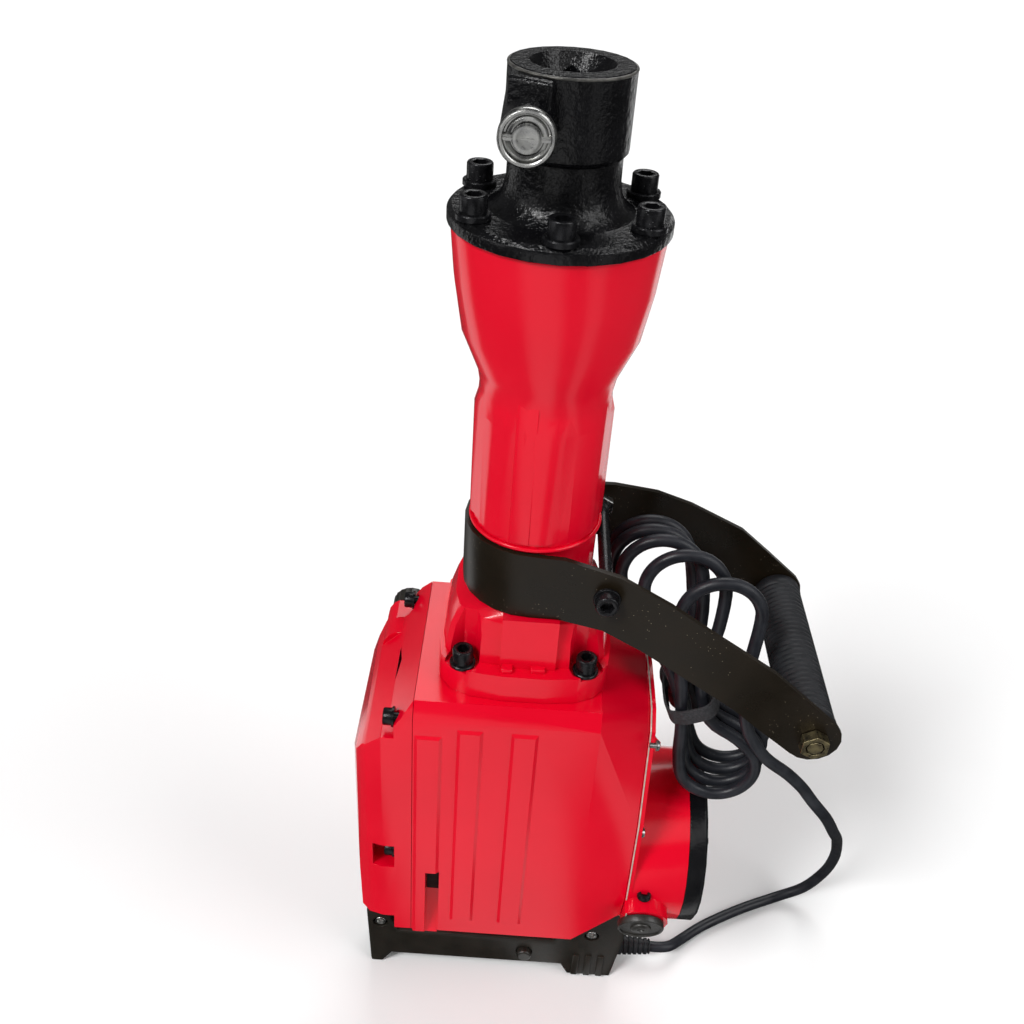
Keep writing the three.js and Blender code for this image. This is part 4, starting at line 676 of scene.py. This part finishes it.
# Stop lever: a zinc-plated steel pin across the socket with a flat on one side. Its head is
# dished, and a roll pin shows in the groove round its middle.
zinc_plate = finish(
    "zinc_plate", (0.50, 0.50, 0.48), (0.26, 0.26, 0.26), 240, (0.2, 0.38),
    (300, 1800, 0.5, 0.00012), metal=1.0, fleck=(600, 0.1, (0.2, 0.2, 0.19)),
)
yellow_zinc = finish(
    "yellow_zinc", (0.30, 0.25, 0.13), (0.06, 0.05, 0.035), 210, (0.22, 0.42),
    (300, 1800, 0.5, 0.00015), metal=0.9,
)
lever_end, flat_low, flat_high, flat_out = -77.7, -63.6, -26.4, 0.0036
lever_head = turned([
    (6, lever_end), (7, lever_end + 1), (7, flat_low), (7, flat_low + 0.1), (7, flat_high),
    (7, flat_high + 0.1), (7, 0), (13.2, 0), (13.5, 0.5), (13.5, 3.4), (13.1, 4.4), (12.4, 5),
    (11.4, 5), (10.9, 4.6), (10.6, 2), (9.9, 2), (9.6, 3.3), (8.9, 3.7), (7.8, 3.4), (7.5, 2.2),
    (7.1, 2.2), (6.8, 4.2), (6, 4.6), (4.6, 4.4), (1.5, 4.1),
], 64)
for vertex in lever_head.data.vertices:
    if flat_low + 0.05 < vertex.co.z * 1000 < flat_high + 0.05:
        vertex.co.x = min(vertex.co.x, flat_out)
stand(lever_head, at(-19, -45.3, 677), (0, -1, 0))
settle(lever_head, "lever_head", zinc_plate, "stop_lever")
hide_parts("stop_lever")
dress(zinc_plate, "stop_lever_roll_pin")


# Side handle: a bent steel strap in dark satin paint, clamped round the neck, with a ribbed
# rubber grip on a long bolt between the ends of its arms.
strap_paint = finish(
    "strap_paint", (0.014, 0.0095, 0.005), (0.009, 0.0065, 0.0035), 30, (0.26, 0.38),
    (110, 1500, 0.4, 0.0001), fleck=(380, 0.09, (0.20, 0.17, 0.12)), Specular_IOR_Level=0.2,
)
dress(strap_paint, "side_handle_strap")
round_edges(0.0007, "side_handle_strap")
grip_ribs, rib_pitch, rib_start, rib_foot, rib_top = 27, 4.44, -59.9, 14.7, 15.6
grip_rings = []
for i in range(grip_ribs):
    foot = rib_start + rib_pitch * i
    grip_rings += [
        (rib_foot, foot), (rib_top, foot + 0.9), (rib_top, foot + 3), (rib_foot, foot + 3.9),
    ]
ribbed_grip = turned([
    (14.6, -69), (15.7, -68), (15.9, -62.5), (15.5, -60.4), *grip_rings, (15.5, 60.4), (15.9, 62.5),
    (15.7, 68), (14.6, 69),
], 56)
stand(ribbed_grip, at(176, 0, 340.3), (0, -1, 0))
settle(ribbed_grip, "ribbed_grip", grip_rubber, "side_handle", smooth=50)
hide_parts("side_grip")
dress(yellow_zinc, "side_grip_bolt", "side_grip_nut")
dress(zinc_plate, "clamp_nut")
round_edges(0.0004, "side_grip_bolt", "side_grip_nut", "clamp_nut")


# Screws: socket-head screws in black oxide on the castings, zinc-plated ones in the D-handle,
# and small button-head screws on the motor housing's flange, tail and brush caps.
black_oxide = finish(
    "black_oxide", (0.014, 0.014, 0.016), (0.006, 0.006, 0.007), 300, (0.18, 0.3),
    (400, 2000, 0.5, 0.00015), metal=0.4, fleck=(700, 0.1, (0.25, 0.25, 0.25)),
    Specular_IOR_Level=0.35,
)


hexagon_share, knurl_share = 0.86, 0.975


def socket_screw(node, name, way, size, body="hammer_body", paint=black_oxide):
    """A socket-head screw in the place of a CAD one. size is the head's radius and height, the
    shank's radius and length, and the washer's radius and height, in mm."""
    head, high, shank, reach, washer, washer_high = size
    mouth = head * 0.62
    screw = turned([
        (shank * 0.8, -reach), (shank, 1 - reach), (shank, 0), (washer, 0),
        (washer, washer_high * 0.8), (washer * 0.95, washer_high), (head, washer_high),
        (head, high - 0.9), (head * 0.93, high - 0.2), (head * 0.88, high), (head * 0.66, high),
        (mouth, high - 0.3), (mouth, high * 0.45),
    ], 48)
    for i, vertex in enumerate(screw.data.vertices):
        radius, height = vertex.co.xy.length * 1000, vertex.co.z * 1000
        change = 1
        if height > 0 and radius < head * 0.64:
            turn = math.atan2(vertex.co.y, vertex.co.x) % (math.pi / 3) - math.pi / 6
            change = hexagon_share / math.cos(turn)
        elif washer_high < height < high - 0.5 and i % 2:
            change = knurl_share
        vertex.co.x *= change
        vertex.co.y *= change
    low, high_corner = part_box(node)
    spot = (Vector(low) + Vector(high_corner)) / 2
    axis = max(range(3), key=lambda k: abs(way[k]))
    spot[axis] = (high_corner if way[axis] > 0 else low)[axis] - way[axis] * high / 1000
    stand(screw, spot, way)
    settle(screw, name, paint, body)
    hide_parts(node)


for k in range(6):
    socket_screw(f"front_bolt_{k + 1}", f"nose_screw_{k + 1}", (0, 0, 1), (7, 12, 4, 22, 9, 3))
for k in range(4):
    socket_screw(f"case_bolt_{k + 1}", f"foot_screw_{k + 1}", (0, 0, 1), (6.5, 12, 4, 38, 8, 2))
    socket_screw(
        f"gear_cover_bolt_{k + 1}", f"cover_screw_{k + 1}", (-1, 0, 0), (5.5, 7, 3, 26, 6.5, 1.5),
    )
for k in range(2):
    socket_screw(
        f"handle_bolt_{k + 1}", f"shell_screw_{k + 1}", (0, -1, 0), (4.5, 4, 2.5, 34, 5.5, 1),
        paint=zinc_plate,
    )
socket_screw(
    "clamp_bolt", "clamp_screw", (0, -1, 0), (7, 8, 4, 100, 8, 1.6), body="side_handle",
)
lock_nut = start(
    bpy.ops.mesh.primitive_cylinder_add, vertices=6, radius=0.0078, depth=0.0064,
    location=at(44, 44.4, 420.3), rotation=(math.radians(90), 0, 0),
)
bake(lock_nut, "BEVEL", width=0.0006, segments=3, limit_method="ANGLE")
settle(lock_nut, "clamp_lock_nut", zinc_plate, "side_handle")


def small_screw(name, foot, way, head, material):
    """A button-head screw of the given head radius with a round socket."""
    screw = turned([
        (head * 0.5, -4), (head * 0.5, 0), (head, 0), (head, head * 0.3), (head * 0.86, head * 0.6),
        (head * 0.6, head * 0.74), (head * 0.5, head * 0.74), (head * 0.42, head * 0.3),
    ], 24)
    stand(screw, at(*foot), way)
    return settle(screw, name, material, "hammer_body")


flange_screws = {
    "lower": (-54, 222), "upper": (-48, 300), "rear_lower": (54, 222), "rear_upper": (48, 300),
}
flange_face, flange_head = 88.2, 3.6
for place, (y, z) in flange_screws.items():
    small_screw(
        f"flange_screw_{place}", (flange_face, y, z), (1, 0, 0), flange_head, zinc_plate,
    )
motor_height, tail_face, tail_ring, tail_head = 160, 136.6, 52, 3.8
for k in range(4):
    turn = math.radians(45 + 90 * k)
    small_screw(
        f"tail_screw_{k + 1}",
        (tail_face, tail_ring * math.cos(turn), motor_height + tail_ring * math.sin(turn)),
        (1, 0, 0), tail_head, black_oxide,
    )


# Brush caps: a black moulded cap screws down over each carbon brush. Its face has a rolled rim
# Its face has a rolled rim and a raised middle with a ring groove round a small centre boss.
nylon = finish(
    "moulded_nylon", (0.020, 0.0165, 0.012), (0.013, 0.011, 0.008), 70, (0.34, 0.48),
    (500, 2400, 0.5, 0.00018), fleck=(500, 0.06, (0.10, 0.08, 0.06)), Specular_IOR_Level=0.25,
)
cap_black = finish(
    "cap_black", (0.02, 0.018, 0.014), (0.011, 0.01, 0.008), 120, (0.28, 0.42),
    (420, 2200, 0.5, 0.0002), fleck=(600, 0.08, (0.16, 0.14, 0.11)),
)
brush_x, lock_out, lock_head = 97, 64, 5
for place, angle, lock_above in (("front", 195, 20.5), ("rear", 15, 20)):
    turn = math.radians(angle)
    out = Vector((0, math.cos(turn), math.sin(turn)))
    cap = turned([
        (8, 56), (9, 57), (9, 70), (16, 70), (16.3, 70.4), (16.3, 74), (15.6, 75), (14.6, 75),
        (14, 74), (7.4, 74), (7, 75), (5.6, 75.6), (2.6, 75.6), (2.2, 74.4), (1.6, 74.4),
        (1.3, 75.1), (0.6, 75.3),
    ], 56)
    stand(cap, at(brush_x, 0, motor_height), out)
    settle(cap, f"brush_cap_{place}_face", cap_black, "hammer_body")
    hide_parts(f"brush_cap_{place}")
    small_screw(
        f"brush_lock_screw_{place}",
        (brush_x, lock_out * out.y, motor_height + lock_out * out.z + lock_above),
        (0, 0, 1), lock_head, black_oxide,
    )


# Oil gauge: a black moulded cap with a knurled edge on the gear cover's rear boss. Its middle
# is sunk inside a raised ring.
gauge_cap = turned([
    (12.6, 0), (13.3, 0.6), (13.3, 14.5), (12.2, 16), (9.6, 16.4), (9.2, 14.6), (8.8, 14.6),
    (4, 15),
], 40)
knurl_from, knurl_to, knurl_count, knurl_depth = 12.9, 13.6, 20, 0.02
for vertex in gauge_cap.data.vertices:
    if knurl_from < vertex.co.xy.length * 1000 < knurl_to:
        around = math.atan2(vertex.co.y, vertex.co.x)
        knurl = 1 + knurl_depth * math.cos(knurl_count * around)
        vertex.co.x *= knurl
        vertex.co.y *= knurl
boss_low, boss_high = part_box("oil_gauge")
gauge_foot = Vector((
    (boss_low[0] + boss_high[0]) / 2, boss_low[1], (boss_low[2] + boss_high[2]) / 2,
))
stand(gauge_cap, gauge_foot, (0, 1, 0))
settle(gauge_cap, "gauge_cap", cap_black, "hammer_body", smooth=25)
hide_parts("oil_gauge")


# D-handle: two shells of black glass-filled nylon, split on the middle plane and screwed
# together round the switch. The right foot has moulded ribs in front.
dress(nylon, "handle_front_shell", "handle_rear_shell", "switch_body", "cooling_fan")
round_edges(0.0016, "handle_front_shell", "handle_rear_shell")
for k, middle in enumerate((62, 72, 82)):
    rib = block(at(middle, -22.2, 16), (0.0052, 0.0024, 0.026), 0.0009, 3)
    settle(rib, f"foot_grip_rib_{k + 1}", nylon, "hammer_body")
dress(cap_black, "trigger", "lock_button")
round_edges(0.0008, "trigger", "lock_button")


# Inner works: the ground steel of the striking train, the turned gears and bearings, the
# laminated motor with its copper windings, and the carbon brushes.
ground_steel = finish(
    "ground_steel", (0.55, 0.55, 0.56), (0.42, 0.42, 0.43), 150, (0.16, 0.3),
    (90, 2400, 0.8, 0.00006), metal=1.0,
)
dress(
    ground_steel, "impact_bolt", "impact_bolt_guide", "cylinder_liner", "piston", "striker",
    "connecting_rod", "crank_shaft",
)
gear_steel = finish(
    "gear_steel", (0.34, 0.33, 0.32), (0.2, 0.19, 0.18), 180, (0.25, 0.4),
    (260, 2000, 0.5, 0.0001), metal=1.0,
)
dress(gear_steel, "crank_gear", "intermediate_gear_shaft")
bearing_steel = finish(
    "bearing_steel", (0.66, 0.65, 0.63), (0.5, 0.5, 0.49), 300, (0.12, 0.22),
    (400, 2600, 0.6, 0.00004), metal=1.0,
)
dress(bearing_steel, "armature_bearing_1", "armature_bearing_2", "crank_bearing")
lamination = finish(
    "lamination", (0.24, 0.24, 0.25), (0.12, 0.12, 0.13), 500, (0.34, 0.5),
    (700, 3000, 0.5, 0.0002), metal=0.9,
)
dress(lamination, "armature")
copper_winding = finish(
    "copper_winding", (0.62, 0.22, 0.09), (0.34, 0.10, 0.04), 420, (0.25, 0.42),
    (500, 1500, 0.5, 0.0006), metal=0.9,
)
dress(copper_winding, "stator")
carbon = finish(
    "carbon", (0.05, 0.05, 0.052), (0.025, 0.025, 0.027), 400, (0.5, 0.7), (600, 2600, 0.5, 0.0002),
)
dress(carbon, "carbon_brush_front", "carbon_brush_rear")


# Studio: a plain pale floor, a dim even sky and three wide, soft suns. What is glossy sees the
# floor and the sky dark, with soft bright boards, which draw the streaks in the paint.
floor = start(bpy.ops.mesh.primitive_plane_add, size=30)
floor.name = "floor"
floor_paint = finish(
    "floor_paint", (0.93, 0.93, 0.93), (0.92, 0.92, 0.92), 3, (0.75, 0.85), (40, 400, 0.5, 0.0001),
)


def boards(tree, seen, dark, lit):
    """The strength of bright boards on a dark ground, over the way that is seen. Each board has
    its way, the angles of its even core and of its soft rim, and its strength."""
    strength = None
    for way, core, rim, power in lit:
        facing = tree.nodes.new("ShaderNodeVectorMath")
        facing.operation = "DOT_PRODUCT"
        facing.inputs[1].default_value = Vector(way).normalized()
        glow = tree.nodes.new("ShaderNodeMapRange")
        glow.interpolation_type = "SMOOTHSTEP"
        glow.inputs["From Min"].default_value = math.cos(math.radians(rim))
        glow.inputs["From Max"].default_value = math.cos(math.radians(core))
        glow.inputs["To Max"].default_value = power
        total = tree.nodes.new("ShaderNodeMath")
        total.inputs[0].default_value = dark
        if strength:
            tree.links.new(strength, total.inputs[0])
        tree.links.new(seen, facing.inputs[0])
        tree.links.new(facing.outputs["Value"], glow.inputs["Value"])
        tree.links.new(glow.outputs["Result"], total.inputs[1])
        strength = total.outputs["Value"]
    return strength


def choose(tree, ray, others, chosen):
    """The chosen shader for rays of one kind, and the other one for the rest."""
    sight = tree.nodes.new("ShaderNodeLightPath")
    either = tree.nodes.new("ShaderNodeMixShader")
    tree.links.new(sight.outputs[ray], either.inputs["Fac"])
    tree.links.new(others, either.inputs[1])
    tree.links.new(chosen, either.inputs[2])
    return either.outputs["Shader"]


ground = floor_paint.node_tree
floor_place = ground.nodes.new("ShaderNodeTexCoord")
floor_way = ground.nodes.new("ShaderNodeVectorMath")
floor_way.operation = "NORMALIZE"
ground.links.new(floor_place.outputs["Object"], floor_way.inputs[0])
floor_lit = [
    ((math.sin(math.radians(turn)), -math.cos(math.radians(turn)), 0), core, rim, power)
    for turn, core, rim, power in (
        (-14, 10, 30, 0.85), (46, 5, 14, 0.6), (-121, 6, 14, 0.9), (152, 5, 15, 1.0),
    )
]
floor_shine = ground.nodes.new("ShaderNodeEmission")
ground.links.new(
    boards(ground, floor_way.outputs["Vector"], 0.06, floor_lit), floor_shine.inputs["Strength"]
)
ground.links.new(
    choose(
        ground, "Is Glossy Ray", ground.nodes["Principled BSDF"].outputs["BSDF"],
        floor_shine.outputs["Emission"],
    ),
    ground.nodes["Material Output"].inputs["Surface"],
)
floor.data.materials.append(floor_paint)

studio = bpy.data.worlds.new("studio")
studio.use_nodes = True
air = studio.node_tree
sky = air.nodes["Background"]
sky.inputs["Color"].default_value = (1, 1, 1, 1)
sky.inputs["Strength"].default_value = 0.24
backdrop = air.nodes.new("ShaderNodeBackground")
backdrop.inputs["Color"].default_value = (0.95, 0.95, 0.95, 1)
sky_way = air.nodes.new("ShaderNodeTexCoord")
sky_lit = [
    ((-0.93, -0.30, 0.20), 16, 26, 1.5), ((0.90, -0.38, 0.22), 10, 22, 1.3),
    ((0.05, -0.66, 0.75), 8, 20, 1.6),
]
sky_shine = air.nodes.new("ShaderNodeBackground")
air.links.new(
    boards(air, sky_way.outputs["Generated"], 0.12, sky_lit), sky_shine.inputs["Strength"]
)
unseen_air = choose(
    air, "Is Glossy Ray", sky.outputs["Background"], sky_shine.outputs["Background"],
)
air.links.new(
    choose(air, "Is Camera Ray", unseen_air, backdrop.outputs["Background"]),
    air.nodes["World Output"].inputs["Surface"],
)
bpy.context.scene.world = studio
suns = [
    ("key_sun", (-0.75, -0.7, 1.05), 2.1, 18), ("fill_sun", (1.0, -0.45, 0.9), 1.05, 34),
    ("back_sun", (0.15, 1.0, 1.1), 1.0, 34),
]
for name, source, power, spread in suns:
    bpy.ops.object.light_add(type="SUN", location=source)
    sun = bpy.context.object
    sun.name = name
    sun.data.energy = power
    sun.data.angle = math.radians(spread)
    sun.rotation_mode = "QUATERNION"
    sun.rotation_quaternion = (-Vector(source)).to_track_quat("-Z", "Y")
